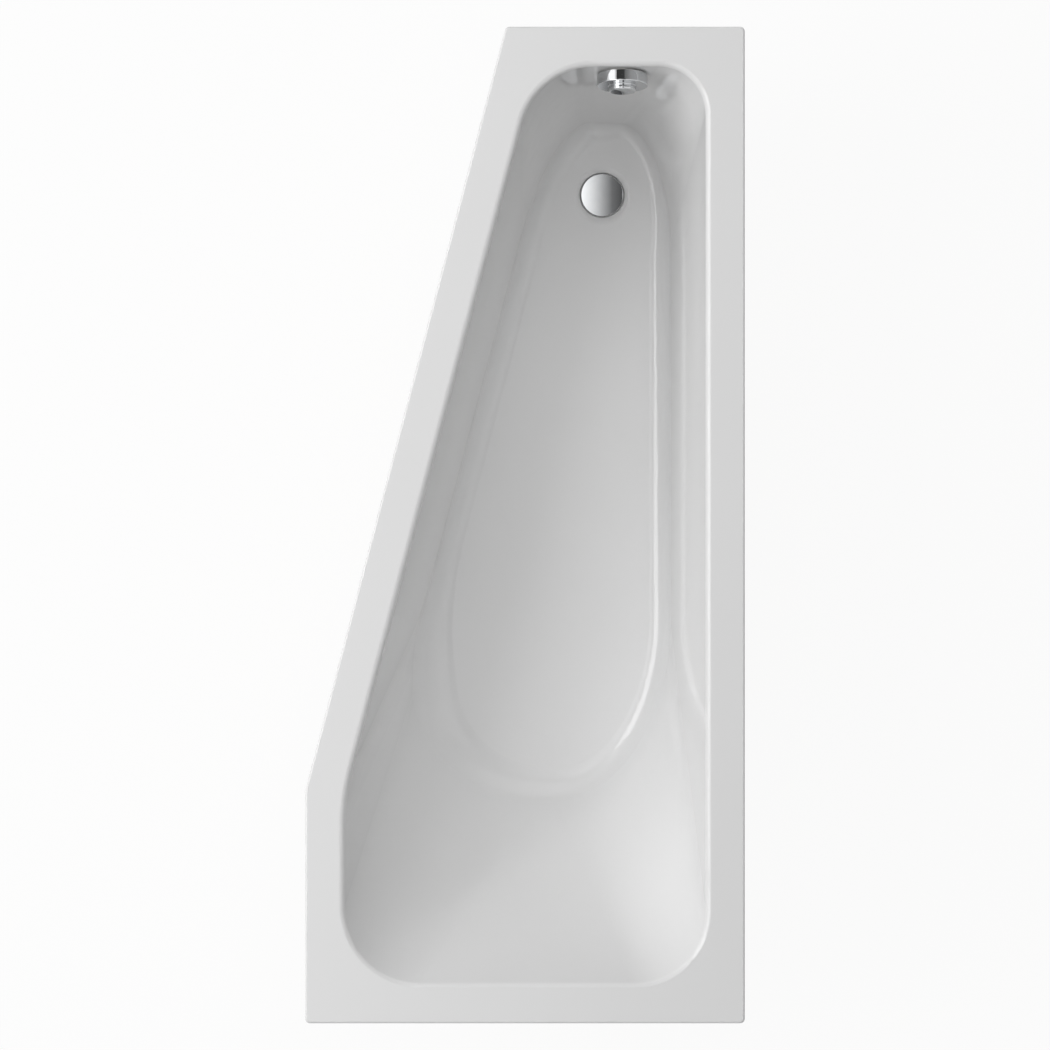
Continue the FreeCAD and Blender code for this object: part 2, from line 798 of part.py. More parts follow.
def spokes(name, count, first_angle, inner, outer, width, height, frame):
    """Straight spokes between a hub and a ring."""
    start = size(inner)
    bars = []
    for i in range(count):
        turn = Placement(Vector(), Rotation(Vector(0, 0, 1), first_angle + i * 360 / count))
        place = frame * turn * at(start, -size(width) / 2, 0)
        bars.append(block(f"{name}_{i}", f"{outer} - ({inner})", width, height, place))
    return bars


def drain_flange():
    top = "flange_gasket_thickness + flange_thickness"
    bore = "tail_radius - tail_wall"
    profile = [
        (bore, "-tail_length"),
        ("tail_radius", "-tail_length"),
        ("tail_radius", "flange_gasket_thickness"),
        ("flange_radius", "flange_gasket_thickness"),
        ("flange_radius", top),
        (bore, top),
    ]
    hub_frame = DRAIN_FRAME * at(0, 0, -size("guide_drop + guide_height"))
    hub = ring("flange_guide", "pin_radius + running_gap", "guide_radius", "guide_height", hub_frame)
    arms = spokes("flange_spoke", 3, 90, "(pin_radius + guide_radius) / 2", "tail_radius - tail_wall / 2",
                  "flange_spoke_width", "guide_height", hub_frame)
    return joined("flange", [turned("flange_tail", profile, DRAIN_FRAME), hub] + arms)


node(drain_flange(), "drain_flange")
node(ring("gasket_under_flange", "waste_hole_radius", "flange_gasket_radius", "flange_gasket_thickness",
          DRAIN_FRAME), "drain_flange_gasket")

seal_foot = size("flange_gasket_thickness + flange_thickness + loose_gap")
cover_foot = seal_foot + size("plug_seal_thickness")
stem_length = ("flange_gasket_thickness + flange_thickness + plug_seal_thickness"
               " + guide_drop - pin_stand")
stem_profile = [
    ("0", "0"),
    ("plug_collar_radius", "0"),
    ("plug_collar_radius", "-plug_collar_height"),
    ("plug_stem_radius", "-plug_collar_height"),
    ("plug_stem_radius", f"-({stem_length})"),
    ("0", f"-({stem_length})"),
]


def plug_cover():
    """A disc with a gently crowned top."""
    thickness = "plug_edge_thickness + plug_crown"
    crown = "(plug_radius^2 + plug_crown^2) / (2 * plug_crown)"
    frame = DRAIN_FRAME * at(0, 0, cover_foot)
    disc = rod("plug_disc", "plug_radius", thickness, frame)
    ball = primitive("Sphere", "plug_ball", {"Radius": crown}, frame * at(0, 0, size(f"{thickness} - {crown}")))
    common = doc.addObject("Part::Common", "plug_crowned")
    common.Base = disc
    common.Tool = ball
    return common


node(plug_cover(), "plug_cover")
node(turned("stem", stem_profile, DRAIN_FRAME * at(0, 0, cover_foot)), "plug_stem")
node(ring("seal_of_plug", "plug_collar_radius + running_gap", "plug_seal_radius", "plug_seal_thickness",
          DRAIN_FRAME * at(0, 0, seal_foot)), "plug_seal")

BODY_TOP = -size("shell_wall + drain_gasket_thickness")
POT_FOOT = BODY_TOP - size("body_collar_thickness + body_neck_height + pot_height")
PIVOT = Vector(-size("lever_reach"), 0, POT_FOOT + size("pivot_height"))
LEVER_TIP = PIVOT + Vector(size("lever_reach"), 0, size("lever_rise"))
LEVER_FOOT = PIVOT - Vector(0, 0, size("lever_drop"))

pin_foot = LEVER_TIP.z + size("lever_tip_radius + loose_gap")
pin_length = ("shell_wall + drain_gasket_thickness + body_collar_thickness + body_neck_height + pot_height"
              " - pivot_height - lever_rise - lever_tip_radius - loose_gap - guide_drop + pin_stand")
pin_profile = [
    ("0", "0"),
    ("pin_collar_radius", "0"),
    ("pin_collar_radius", "pin_collar_height"),
    ("pin_radius", "pin_collar_height"),
    ("pin_radius", pin_length),
    ("0", pin_length),
]
node(turned("pin", pin_profile, DRAIN_FRAME * at(0, 0, pin_foot)), "lift_pin")


def lever_bar(name, length, start, end):
    """A flat bar between two points of the lever's plane."""
    turn = Rotation(Vector(1, 0, 0), end - start)
    half = Vector(0, size("lever_width / 2"), size("lever_arm_thickness / 2"))
    place = DRAIN_FRAME * Placement(start, turn) * Placement(-half, Rotation())
    return block(name, length, "lever_width", "lever_arm_thickness", place)


def lever():
    """A bell crank: its long arm lifts the pin, its short foot is pushed by the wire."""
    width = "lever_width"

    def across(name, radius, length, point):
        place = DRAIN_FRAME * Placement(point, BACK_Y) * at(0, 0, -size(length) / 2)
        return rod(name, radius, length, place)

    long_arm = lever_bar("lever_long_arm", "sqrt(lever_reach^2 + lever_rise^2)", PIVOT, LEVER_TIP)
    short_arm = lever_bar("lever_short_arm", "lever_drop", PIVOT, LEVER_FOOT)
    rounds = [
        across("lever_hub", "lever_hub_radius", width, PIVOT),
        across("lever_tip", "lever_tip_radius", width, LEVER_TIP),
        across("lever_foot", "lever_foot_radius", width, LEVER_FOOT),
    ]
    bore = across("lever_bore", "axle_radius + running_gap", width + " + 2 * cut_overrun", PIVOT)
    node(across("axle", "axle_radius", "chamber_width", PIVOT), "lever_axle")
    return cut("lever", joined("lever_arms", [long_arm, short_arm] + rounds), bore)


node(lever(), "drain_lever")


# Drain body: collar, neck and pot with an overflow inlet and a side chamber for the lever

BODY_FRAME = DRAIN_FRAME * at(0, 0, BODY_TOP)
POT_FRAME = DRAIN_FRAME * at(0, 0, POT_FOOT)
SPIGOT_AXIS = BEHIND_WALL * at(0, 0, -size("overflow_gasket_thickness + overflow_collar_thickness / 2"
                                           " + overflow_pot_depth / 2"), BACK_Y)
DOWN_WALL = SPIGOT_AXIS.Rotation.multVec(Vector(0, 0, 1))
INLET_Z = SEAT + POT_FOOT + size("inlet_height")
PIPE_CORNER = SPIGOT_AXIS.Base + DOWN_WALL * ((INLET_Z - SPIGOT_AXIS.Base.z) / DOWN_WALL.z)
INLET_START = Vector(DRAIN.x, DRAIN.y, INLET_Z)
INLET_AXIS = Placement(INLET_START, facing(PIPE_CORNER - INLET_START))

socket_radius = "overflow_pipe_radius + loose_gap"
spigot_radius = "overflow_pipe_radius + loose_gap + socket_wall"
pipe_bore = "overflow_pipe_radius - overflow_pipe_wall"


def socket_cuts(name, axis, length, start):
    """The passage and the wider socket in the end of a spigot."""
    shoulder = size(f"{length} - socket_depth")
    return [
        rod(name + "_passage", pipe_bore, f"{length} - {start}", axis * at(0, 0, size(start))),
        rod(name + "_socket", socket_radius, "socket_depth + cut_overrun", axis * at(0, 0, shoulder)),
    ]


def drain_body():
    collar = "-body_collar_thickness"
    neck = f"{collar} - body_neck_height"
    pot = f"{neck} - pot_height"
    tail = f"{pot} - outlet_tail_length"
    outside = turned("body_outside", [
        ("0", "0"),
        ("body_collar_radius", "0"),
        ("body_collar_radius", collar),
        ("body_neck_radius", collar),
        ("body_neck_radius", neck),
        ("pot_radius", neck),
        ("pot_radius", pot),
        ("waste_pipe_radius", pot),
        ("waste_pipe_radius", tail),
        ("0", tail),
    ], BODY_FRAME)
    neck_bore = "tail_radius + loose_gap"
    pot_bore = "pot_radius - pot_wall"
    tail_bore = "waste_pipe_radius - waste_pipe_wall"
    inside = turned("body_inside", [
        ("0", "cut_overrun"),
        (neck_bore, "cut_overrun"),
        (neck_bore, f"{neck} - pot_wall"),
        (pot_bore, f"{neck} - pot_wall"),
        (pot_bore, f"{pot} + pot_wall"),
        (tail_bore, f"{pot} + pot_wall"),
        (tail_bore, f"{tail} - cut_overrun"),
        ("0", f"{tail} - cut_overrun"),
    ], BODY_FRAME)
    inlet = rod("inlet_outside", spigot_radius, "inlet_length", INLET_AXIS)
    half = size("chamber_width / 2")
    wall = size("pot_wall")
    reach = size("chamber_reach")
    chamber = block("chamber_outside", "chamber_reach - pot_radius / 2", "chamber_width", "chamber_height",
                    POT_FRAME * at(-reach, -half, 0))
    hollow = block("chamber_inside", "chamber_reach - pot_radius / 2", "chamber_width - 2 * pot_wall",
                   "chamber_height - 2 * pot_wall", POT_FRAME * at(wall - reach, wall - half, wall))
    axle_place = DRAIN_FRAME * Placement(PIVOT, BACK_Y) * at(0, 0, -half - size("cut_overrun"))
    axle_hole = rod("axle_hole", "axle_radius + running_gap", "chamber_width + 2 * cut_overrun", axle_place)
    wire_place = DRAIN_FRAME * at(-reach - size("cut_overrun"), 0, LEVER_FOOT.z, ALONG_X)
    wire_hole = rod("wire_hole", "wire_radius + loose_gap", "pot_wall + 2 * cut_overrun", wire_place)
    cuts = [inside, hollow, axle_hole, wire_hole] + socket_cuts("inlet", INLET_AXIS, "inlet_length",
                                                                "pot_radius / 2")
    return cut("body", joined("body_solid", [outside, inlet, chamber]), joined("body_cuts", cuts))


node(drain_body(), "drain_body")
node(ring("gasket_of_body", "drain_gasket_bore", "body_collar_radius", "drain_gasket_thickness", BODY_FRAME),
     "drain_body_gasket")


# Trap and outlet

def waste_union(place, seal_label, nut_label, seal_frame):
    """A seal between two pipe ends and the ring nut around it; Z of the frame points downstream."""
    node(ring(place + "_seal", "waste_pipe_radius - waste_pipe_wall", "waste_pipe_radius",
              "waste_seal_thickness", seal_frame), seal_label)
    back = size("waste_nut_height - waste_seal_thickness") / 2
    node(ring(place + "_nut", "waste_pipe_radius + loose_gap", "waste_nut_radius", "waste_nut_height",
              seal_frame * at(0, 0, -back)), nut_label)


TAIL_END = POT_FOOT - size("outlet_tail_length")
TRAP_TOP = TAIL_END - size("waste_seal_thickness")
TRAP_FOOT = TRAP_TOP - size("trap_inlet_drop + trap_bend_radius")
TRAP_SPAN = size("2 * trap_bend_radius")
OUTLET_Z = TRAP_TOP - size("trap_inlet_drop - trap_rise - trap_elbow_radius")
OUTLET_X = TRAP_SPAN + size("trap_elbow_radius + trap_outlet_length")
trap_points = [
    Vector(0, 0, TRAP_TOP),
    Vector(0, 0, TRAP_FOOT),
    Vector(TRAP_SPAN, 0, TRAP_FOOT),
    Vector(TRAP_SPAN, 0, OUTLET_Z),
    Vector(OUTLET_X, 0, OUTLET_Z),
]
trap_radii = [size("trap_bend_radius"), size("trap_bend_radius"), size("trap_elbow_radius")]
trap_path = route([DRAIN_FRAME.multVec(point) for point in trap_points], trap_radii)
waste_bore = "waste_pipe_radius - waste_pipe_wall"
node(tube("trap", trap_path, "waste_pipe_radius", waste_bore), "trap_body")
waste_union("trap_union", "trap_seal", "trap_nut", DRAIN_FRAME * at(0, 0, TAIL_END, DOWN))
OUTLET_FRAME = DRAIN_FRAME * at(OUTLET_X, 0, OUTLET_Z, ALONG_X)
waste_union("outlet_union", "outlet_seal", "outlet_nut", OUTLET_FRAME)

# The outlet pipe is drawn in a little where it goes into its nut.
drawn_in = "(waste_nut_height - waste_seal_thickness) / 2 + loose_gap"
outlet_profile = [
    (waste_bore, "0"),
    ("waste_pipe_radius - loose_gap", "0"),
    ("waste_pipe_radius - loose_gap", drawn_in),
    ("waste_pipe_radius", drawn_in),
    ("waste_pipe_radius", "outlet_pipe_length"),
    (waste_bore, "outlet_pipe_length"),
]
node(turned("outlet_tube", outlet_profile, OUTLET_FRAME * at(0, 0, size("waste_seal_thickness"))),
     "outlet_pipe")


# Overflow: body behind the wall, flange with the spindle's bearing, pipe down to the drain

CABLE_DEPTH = size("cam_depth")
screw_angles = (45, 225)


def on_screw_circle(angle, z):
    turn = math.radians(angle)
    circle = size("overflow_screw_circle")
    return at(circle * math.cos(turn), circle * math.sin(turn), z)


def overflow_body():
    front = "-overflow_gasket_thickness"
    collar = f"{front} - overflow_collar_thickness"
    back = f"{collar} - overflow_pot_depth"
    outside = turned("overflow_outside", [
        ("0", front),
        ("overflow_collar_radius", front),
        ("overflow_collar_radius", collar),
        ("overflow_pot_radius", collar),
        ("overflow_pot_radius", back),
        ("0", back),
    ], BEHIND_WALL)
    bore = "waste_hole_radius + loose_gap"
    inside = turned("overflow_inside", [
        ("0", f"{front} + cut_overrun"),
        (bore, f"{front} + cut_overrun"),
        (bore, f"{back} + pot_wall"),
        ("0", f"{back} + pot_wall"),
    ], BEHIND_WALL)
    spigot = rod("spigot_outside", spigot_radius, "spigot_length", SPIGOT_AXIS)
    cable_axis = BEHIND_WALL * at(0, 0, -CABLE_DEPTH, BACK_X)
    boss = rod("cable_boss", "cable_boss_radius", "cable_boss_reach", cable_axis)
    hollow = cut("overflow_hollow", joined("overflow_solid", [outside, spigot, boss]), joined(
        "overflow_cuts", [inside] + socket_cuts("spigot", SPIGOT_AXIS, "spigot_length",
                                                "overflow_pot_radius / 2")
        + [rod("cable_boss_bore", "wire_radius + loose_gap", "cable_boss_reach + cut_overrun", cable_axis)]))
    boss_length = "overflow_pot_depth + overflow_collar_thickness"
    foot = size(back)
    bosses = []
    holes = []
    for angle in screw_angles:
        place = BEHIND_WALL * on_screw_circle(angle, foot)
        bosses.append(rod(f"screw_boss_{angle}", "screw_boss_radius", boss_length, place))
        place = BEHIND_WALL * on_screw_circle(angle, foot + size("pot_wall"))
        holes.append(rod(f"screw_bore_{angle}", "overflow_screw_radius + running_gap", boss_length, place))
    return cut("overflow", joined("overflow_bossed", [hollow] + bosses), joined("screw_bores", holes))


node(overflow_body(), "overflow_body")
node(ring("gasket_behind_wall", "waste_hole_radius", "overflow_collar_radius", "overflow_gasket_thickness",
          BEHIND_WALL * at(0, 0, -size("overflow_gasket_thickness"))), "overflow_gasket")


def overflow_flange():
    thickness = "overflow_ring_thickness"
    rim = ring("overflow_rim", "overflow_ring_bore", "overflow_ring_radius", thickness, OVERFLOW_FRAME)
    bearing = ring("overflow_bearing", "spindle_radius + running_gap", "bearing_radius",
                   "bearing_depth + overflow_ring_thickness", OVERFLOW_FRAME * at(0, 0, -size("bearing_depth")))
    arms = spokes("overflow_spoke", 4, screw_angles[0], "(spindle_radius + bearing_radius) / 2",
                  "(overflow_ring_bore + overflow_ring_radius) / 2", "overflow_spoke_width", thickness,
                  OVERFLOW_FRAME)
    drop = -size("cut_overrun")
    holes = [rod(f"flange_screw_hole_{angle}", "overflow_screw_radius + loose_gap",
                 "overflow_ring_thickness + 2 * cut_overrun", OVERFLOW_FRAME * on_screw_circle(angle, drop))
             for angle in screw_angles]
    return cut("overflow_face", joined("overflow_spider", [rim, bearing] + arms),
               joined("flange_screw_holes", holes))


node(overflow_flange(), "overflow_flange")

screw_reach = "overflow_ring_thickness + shell_wall + overflow_gasket_thickness + overflow_screw_bite"
screw_profile = [
    ("0", f"-({screw_reach})"),
    ("overflow_screw_radius", f"-({screw_reach})"),
    ("overflow_screw_radius", "0"),
    ("overflow_screw_head_radius", "0"),
    ("overflow_screw_head_radius", "overflow_screw_head_height"),
    ("0", "overflow_screw_head_height"),
]
node(group("screws_of_overflow", [
    turned(f"overflow_screw_{angle}", screw_profile,
           OVERFLOW_FRAME * on_screw_circle(angle, size("overflow_ring_thickness")))
    for angle in screw_angles]), "overflow_screws")

PIPE_TOP = SPIGOT_AXIS.Base + DOWN_WALL * size("spigot_length - socket_depth + loose_gap")
pipe_run = (INLET_START - PIPE_CORNER).normalize()
PIPE_FOOT = INLET_START - pipe_run * size("inlet_length - socket_depth + loose_gap")
pipe_path = route([PIPE_TOP, PIPE_CORNER, PIPE_FOOT], [size("overflow_pipe_bend")])
node(tube("overflow_tube", pipe_path, "overflow_pipe_radius", pipe_bore), "overflow_pipe")

union_bore = f"{spigot_radius} + loose_gap"
union_profile = [
    (union_bore, "0"),
    ("union_radius", "0"),
    ("union_radius", "union_height"),
    (socket_radius, "union_height"),
    (socket_radius, "union_height - union_lip"),
    (union_bore, "union_height - union_lip"),
]
seals = []
for place, axis, length in (("upper", SPIGOT_AXIS, "spigot_length"), ("lower", INLET_AXIS, "inlet_length")):
    seal_frame = axis * at(0, 0, size(length))
    seals.append(ring(f"seal_{place}", socket_radius, spigot_radius, "union_seal_thickness", seal_frame))
    back = size("union_height - union_lip - union_seal_thickness")
    node(turned(f"union_{place}", union_profile, seal_frame * at(0, 0, -back)), f"overflow_nut_{place}")
node(group("seals_of_unions", seals), "overflow_seals")


# Knob: hollow cap, spindle through the bearing and eccentric cam on its end

def knob():
    edge = "knob_gap + knob_depth"
    front = f"{edge} + knob_boss_depth"
    bore_end = "knob_hub_gap + spindle_in_knob"
    plate = f"{edge} - knob_wall"
    return turned("knob_cap", [
        ("spindle_radius + running_gap", "knob_hub_gap"),
        ("knob_hub_radius", "knob_hub_gap"),
        ("knob_hub_radius", plate),
        ("knob_radius - knob_wall", plate),
        ("knob_radius - knob_wall", "knob_gap"),
        ("knob_radius", "knob_gap"),
        ("knob_radius", f"{edge} - knob_chamfer"),
        ("knob_radius - knob_chamfer", edge),
        ("knob_boss_radius", edge),
        ("knob_boss_radius", f"{front} - knob_chamfer"),
        ("knob_boss_radius - knob_chamfer", front),
        ("0", front),
        ("0", bore_end),
        ("spindle_radius + running_gap", bore_end),
    ], OVERFLOW_FRAME)


node(knob(), "knob")

cam_throw = size("lever_drop") * math.sin(math.radians(size("lever_swing")))
cam_back = CABLE_DEPTH + END_WALL + size("cam_width") / 2
spindle_frame = OVERFLOW_FRAME * at(0, 0, -cam_back)
spindle_length = f"knob_hub_gap + spindle_in_knob - loose_gap + {cam_back}"
node(rod("spindle", "spindle_radius", spindle_length, spindle_frame), "knob_spindle")
cam_disc = rod("cam_disc", "cam_radius", "cam_width", spindle_frame * at(0, cam_throw, 0))
cam_bore = rod("cam_bore", "spindle_radius + running_gap", "cam_width + 2 * cut_overrun",
               spindle_frame * at(0, 0, -size("cut_overrun")))
node(cut("cam", cam_disc, cam_bore), "knob_cam")


# Push cable: a stiff wire in a sheath, held in both housings by ferrules

CABLE_TOP = BEHIND_WALL.multVec(Vector(-size("cable_boss_reach"), 0, -CABLE_DEPTH))
CABLE_FOOT = DRAIN_FRAME.multVec(Vector(-size("chamber_reach"), 0, LEVER_FOOT.z))
cable_x = DRAIN.x - size("cable_side_offset")
side_top = Vector(cable_x, CABLE_TOP.y, CABLE_TOP.z)
side_foot = side_top + DOWN_WALL * ((CABLE_FOOT.z - side_top.z) / DOWN_WALL.z)
cable_points = [CABLE_TOP, side_top, side_foot, Vector(cable_x, CABLE_FOOT.y, CABLE_FOOT.z), CABLE_FOOT]


def bend_radii(points):
    """Bends as wide as the shorter run at each corner allows."""
    radii = []
    for before, corner, after in zip(points, points[1:], points[2:]):
        turn = (corner - before).getAngle(after - corner)
        shorter = min((corner - before).Length, (after - corner).Length)
        radii.append(BEND_SHARE * shorter / math.tan(turn / 2))
    return radii


cable_radii = bend_radii(cable_points)
print("cable bend radii", [round(radius, 1) for radius in cable_radii])
sheath_path = route(cable_points, cable_radii)
node(tube("sheath", sheath_path, "sheath_radius", "wire_radius + running_gap"), "cable_sheath")
WIRE_TOP = BEHIND_WALL.multVec(Vector(-size("cam_radius + loose_gap") - cam_throw, 0, -CABLE_DEPTH))
WIRE_FOOT = DRAIN_FRAME.multVec(LEVER_FOOT - Vector(size("lever_foot_radius + loose_gap"), 0, 0))
wire_points = [WIRE_TOP] + cable_points[1:-1] + [WIRE_FOOT]
node(swept("wire", route(wire_points, cable_radii), "wire_radius"), "cable_wire")
ferrule_bore = "sheath_radius + running_gap"
ferrules = [
    ring("ferrule_upper", ferrule_bore, "ferrule_radius", "ferrule_length", Placement(CABLE_TOP, BACK_X)),
    ring("ferrule_lower", ferrule_bore, "ferrule_radius", "ferrule_length", Placement(CABLE_FOOT, BACK_X)),
]
node(group("ferrules_of_cable", ferrules), "cable_ferrules")


# Check every object, then write the sub-parts

doc.recompute()
faults = [thing.Label for thing in doc.Objects if {"Invalid", "Error"} & set(thing.State)]
faults += [thing.Label for thing in NODES if thing.Shape.isNull() or not thing.Shape.isValid()]
if faults:
    raise RuntimeError("these objects failed: " + ", ".join(faults))
os.makedirs("parts", exist_ok=True)
for thing in NODES:
    thing.Shape.exportStep(f"parts/{thing.Label}.step")
    print(thing.Label, len(thing.Shape.Solids), round(thing.Shape.Volume))
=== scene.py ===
# %% [markdown]
# # An asymmetric bathtub
# A white acrylic tub with one slanted side, seen from straight above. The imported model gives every
# size and every moving body; this lesson dresses it. It makes a finish for every surface, models the
# pieces that a plain solid would leave too plain, and sets up the studio that the tub stands in.

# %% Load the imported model
import json
import math

import bmesh
import bpy
from mathutils import Matrix, Vector

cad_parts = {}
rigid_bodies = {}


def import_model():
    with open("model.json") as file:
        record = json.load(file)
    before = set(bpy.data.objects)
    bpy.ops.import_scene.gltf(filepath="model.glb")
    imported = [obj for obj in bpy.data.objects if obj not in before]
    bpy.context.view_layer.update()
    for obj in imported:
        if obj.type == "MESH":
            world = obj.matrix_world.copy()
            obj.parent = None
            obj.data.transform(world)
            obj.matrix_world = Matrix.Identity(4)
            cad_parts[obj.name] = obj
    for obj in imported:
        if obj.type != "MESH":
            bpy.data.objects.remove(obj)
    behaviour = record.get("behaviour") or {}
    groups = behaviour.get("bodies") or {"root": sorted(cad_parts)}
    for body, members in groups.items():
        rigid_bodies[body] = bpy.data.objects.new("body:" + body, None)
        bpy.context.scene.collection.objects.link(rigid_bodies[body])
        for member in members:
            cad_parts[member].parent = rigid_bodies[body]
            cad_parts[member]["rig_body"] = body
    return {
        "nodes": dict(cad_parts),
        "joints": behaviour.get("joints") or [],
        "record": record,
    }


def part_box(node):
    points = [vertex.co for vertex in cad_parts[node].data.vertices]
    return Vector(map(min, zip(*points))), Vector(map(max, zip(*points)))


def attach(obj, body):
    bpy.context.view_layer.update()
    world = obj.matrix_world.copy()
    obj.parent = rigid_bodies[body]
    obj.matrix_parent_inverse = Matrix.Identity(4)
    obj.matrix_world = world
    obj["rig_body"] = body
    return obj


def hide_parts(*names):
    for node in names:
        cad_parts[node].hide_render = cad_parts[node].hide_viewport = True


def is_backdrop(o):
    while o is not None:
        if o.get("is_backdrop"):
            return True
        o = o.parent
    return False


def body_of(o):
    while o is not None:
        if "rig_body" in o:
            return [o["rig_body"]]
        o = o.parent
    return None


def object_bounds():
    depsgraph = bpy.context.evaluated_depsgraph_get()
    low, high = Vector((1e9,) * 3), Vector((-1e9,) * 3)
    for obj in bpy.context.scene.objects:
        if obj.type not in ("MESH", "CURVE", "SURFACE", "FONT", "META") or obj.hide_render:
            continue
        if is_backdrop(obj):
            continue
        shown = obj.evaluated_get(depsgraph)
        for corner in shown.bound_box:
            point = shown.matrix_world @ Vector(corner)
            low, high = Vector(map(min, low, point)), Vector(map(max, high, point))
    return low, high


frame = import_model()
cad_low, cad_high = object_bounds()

MM = 0.001
print("the tub's box in mm:", [round(side / MM) for side in cad_high - cad_low])

# %% [markdown]
# ## Helpers for every finish
# A colour is written as the hex value that a colour picker shows, and turned to linear light once.
# A material is a small tree of nodes, so one function adds a node with its settings and its links.
# A pattern's scale is worked out from the millimetres between its features.

# %% Colours and nodes
def linear(hex_colour):
    """An sRGB hex colour as linear red, green, blue and alpha."""
    shares = [int(hex_colour[i:i + 2], 16) / 255 for i in (1, 3, 5)]
    return [c / 12.92 if c <= 0.04045 else ((c + 0.055) / 1.055) ** 2.4 for c in shares] + [1.0]


def add_node(tree, kind, inputs=None, **settings):
    """A node with its settings; an input is a value, or the socket that feeds it."""
    node = tree.nodes.new(kind)
    for name, value in settings.items():
        setattr(node, name, value)
    for key, value in (inputs or {}).items():
        if isinstance(value, bpy.types.NodeSocket):
            tree.links.new(value, node.inputs[key])
        else:
            node.inputs[key].default_value = value
    return node


def new_material(name, **constants):
    """A material, its tree, its shader and the piece's own coordinates in metres."""
    material = bpy.data.materials.new(name)
    material.use_nodes = True
    tree = material.node_tree
    shader = tree.nodes["Principled BSDF"]
    for socket, value in constants.items():
        shader.inputs[socket.replace("_", " ")].default_value = value
    place = tree.nodes.new("ShaderNodeTexCoord").outputs["Object"]
    print("finish:", name)
    return material, tree, shader, place


def spread(millimetres):
    """The scale of a pattern whose features are this far apart."""
    return 1 / (millimetres * MM)


# sockets of the colour form of the Mix node
FACTOR, FIRST, SECOND, MIXED = 0, 6, 7, 2
print("white is", linear("#ffffff")[:3])

# %% [markdown]
# ## Sanitary acrylic
# The shell is a cast acrylic sheet that was drawn by vacuum into a mould and polished by it. The eye
# sees a clean white with a deep gloss and the slow waves of any drawn sheet. The hidden side of the
# sheet is sprayed with chopped glass and resin, which is matt, cream and lumpy. Both could be separate
# meshes, but the sheet is one body: a mask from the direction that a face looks tells the sides apart,
# because every sprayed face looks a little downwards.

# %% Acrylic with its sprayed back
# how far a face looks down, as Z of its normal, where the sprayed side starts and where it is full
BACK_STARTS = -0.02
BACK_FULL = -0.06


def cast_acrylic():
    material, tree, shader, place = new_material("cast_acrylic", IOR=1.49)
    facing = add_node(tree, "ShaderNodeNewGeometry").outputs["Normal"]
    height = add_node(tree, "ShaderNodeSeparateXYZ", {"Vector": facing}).outputs["Z"]
    back = add_node(tree, "ShaderNodeMapRange", {
        "Value": height, "From Min": BACK_STARTS, "From Max": BACK_FULL, "To Min": 0.0, "To Max": 1.0,
    }).outputs["Result"]

    cloud = add_node(tree, "ShaderNodeTexNoise", {"Vector": place, "Scale": spread(220), "Detail": 2.0})
    white = add_node(tree, "ShaderNodeMix", {
        FACTOR: cloud.outputs["Fac"], FIRST: linear("#e7e7e7"), SECOND: linear("#e9e9e9"),
    }, data_type="RGBA")
    strands = add_node(tree, "ShaderNodeTexVoronoi", {
        "Vector": place, "Scale": spread(14), "Randomness": 1.0,
    }, feature="DISTANCE_TO_EDGE")
    resin = add_node(tree, "ShaderNodeTexNoise", {
        "Vector": place, "Scale": spread(18), "Detail": 6.0, "Roughness": 0.6, "Distortion": 1.5,
    })
    cream = add_node(tree, "ShaderNodeMix", {
        FACTOR: resin.outputs["Fac"], FIRST: linear("#c2b99f"), SECOND: linear("#e6e0cf"),
    }, data_type="RGBA")
    sides = add_node(tree, "ShaderNodeMix", {
        FACTOR: back, FIRST: white.outputs[MIXED], SECOND: cream.outputs[MIXED],
    }, data_type="RGBA")
    tree.links.new(sides.outputs[MIXED], shader.inputs["Base Color"])

    dull = add_node(tree, "ShaderNodeMapRange", {"Value": back, "To Min": 0.06, "To Max": 0.5})
    tree.links.new(dull.outputs["Result"], shader.inputs["Roughness"])

    waves = add_node(tree, "ShaderNodeTexNoise", {"Vector": place, "Scale": spread(70), "Detail": 1.0})
    drawn = add_node(tree, "ShaderNodeBump", {
        "Height": waves.outputs["Fac"], "Strength": 0.02, "Distance": 1 * MM,
    })
    lumps = add_node(tree, "ShaderNodeMath", {
        0: strands.outputs["Distance"], 1: resin.outputs["Fac"],
    }, operation="ADD")
    lumpy = add_node(tree, "ShaderNodeMath", {0: lumps.outputs[0], 1: back}, operation="MULTIPLY")
    sprayed = add_node(tree, "ShaderNodeBump", {
        "Height": lumpy.outputs[0], "Strength": 0.6, "Distance": 1.5 * MM, "Normal": drawn.outputs["Normal"],
    })
    tree.links.new(sprayed.outputs["Normal"], shader.inputs["Normal"])
    return material


# %% [markdown]
# ## Bright chrome
# The knob and the plug are plated with nickel and a thin layer of chromium, then left as bright as
# they come from the bath. Nearly all their look is the room that they mirror. A perfect mirror looks
# drawn, so a faint haze, as of wiped-off limescale, varies the roughness a little.

# %% Chrome
def bright_chrome():
    material, tree, shader, place = new_material("bright_chrome", Metallic=1.0)
    haze = add_node(tree, "ShaderNodeTexNoise", {"Vector": place, "Scale": spread(12), "Detail": 3.0})
    tint = add_node(tree, "ShaderNodeMix", {
        FACTOR: haze.outputs["Fac"], FIRST: linear("#c4c6c8"), SECOND: linear("#cbcccd"),
    }, data_type="RGBA")
    tree.links.new(tint.outputs[MIXED], shader.inputs["Base Color"])
    wiped = add_node(tree, "ShaderNodeMapRange", {
        "Value": haze.outputs["Fac"], "To Min": 0.02, "To Max": 0.06,
    })
    tree.links.new(wiped.outputs["Result"], shader.inputs["Roughness"])
    return material


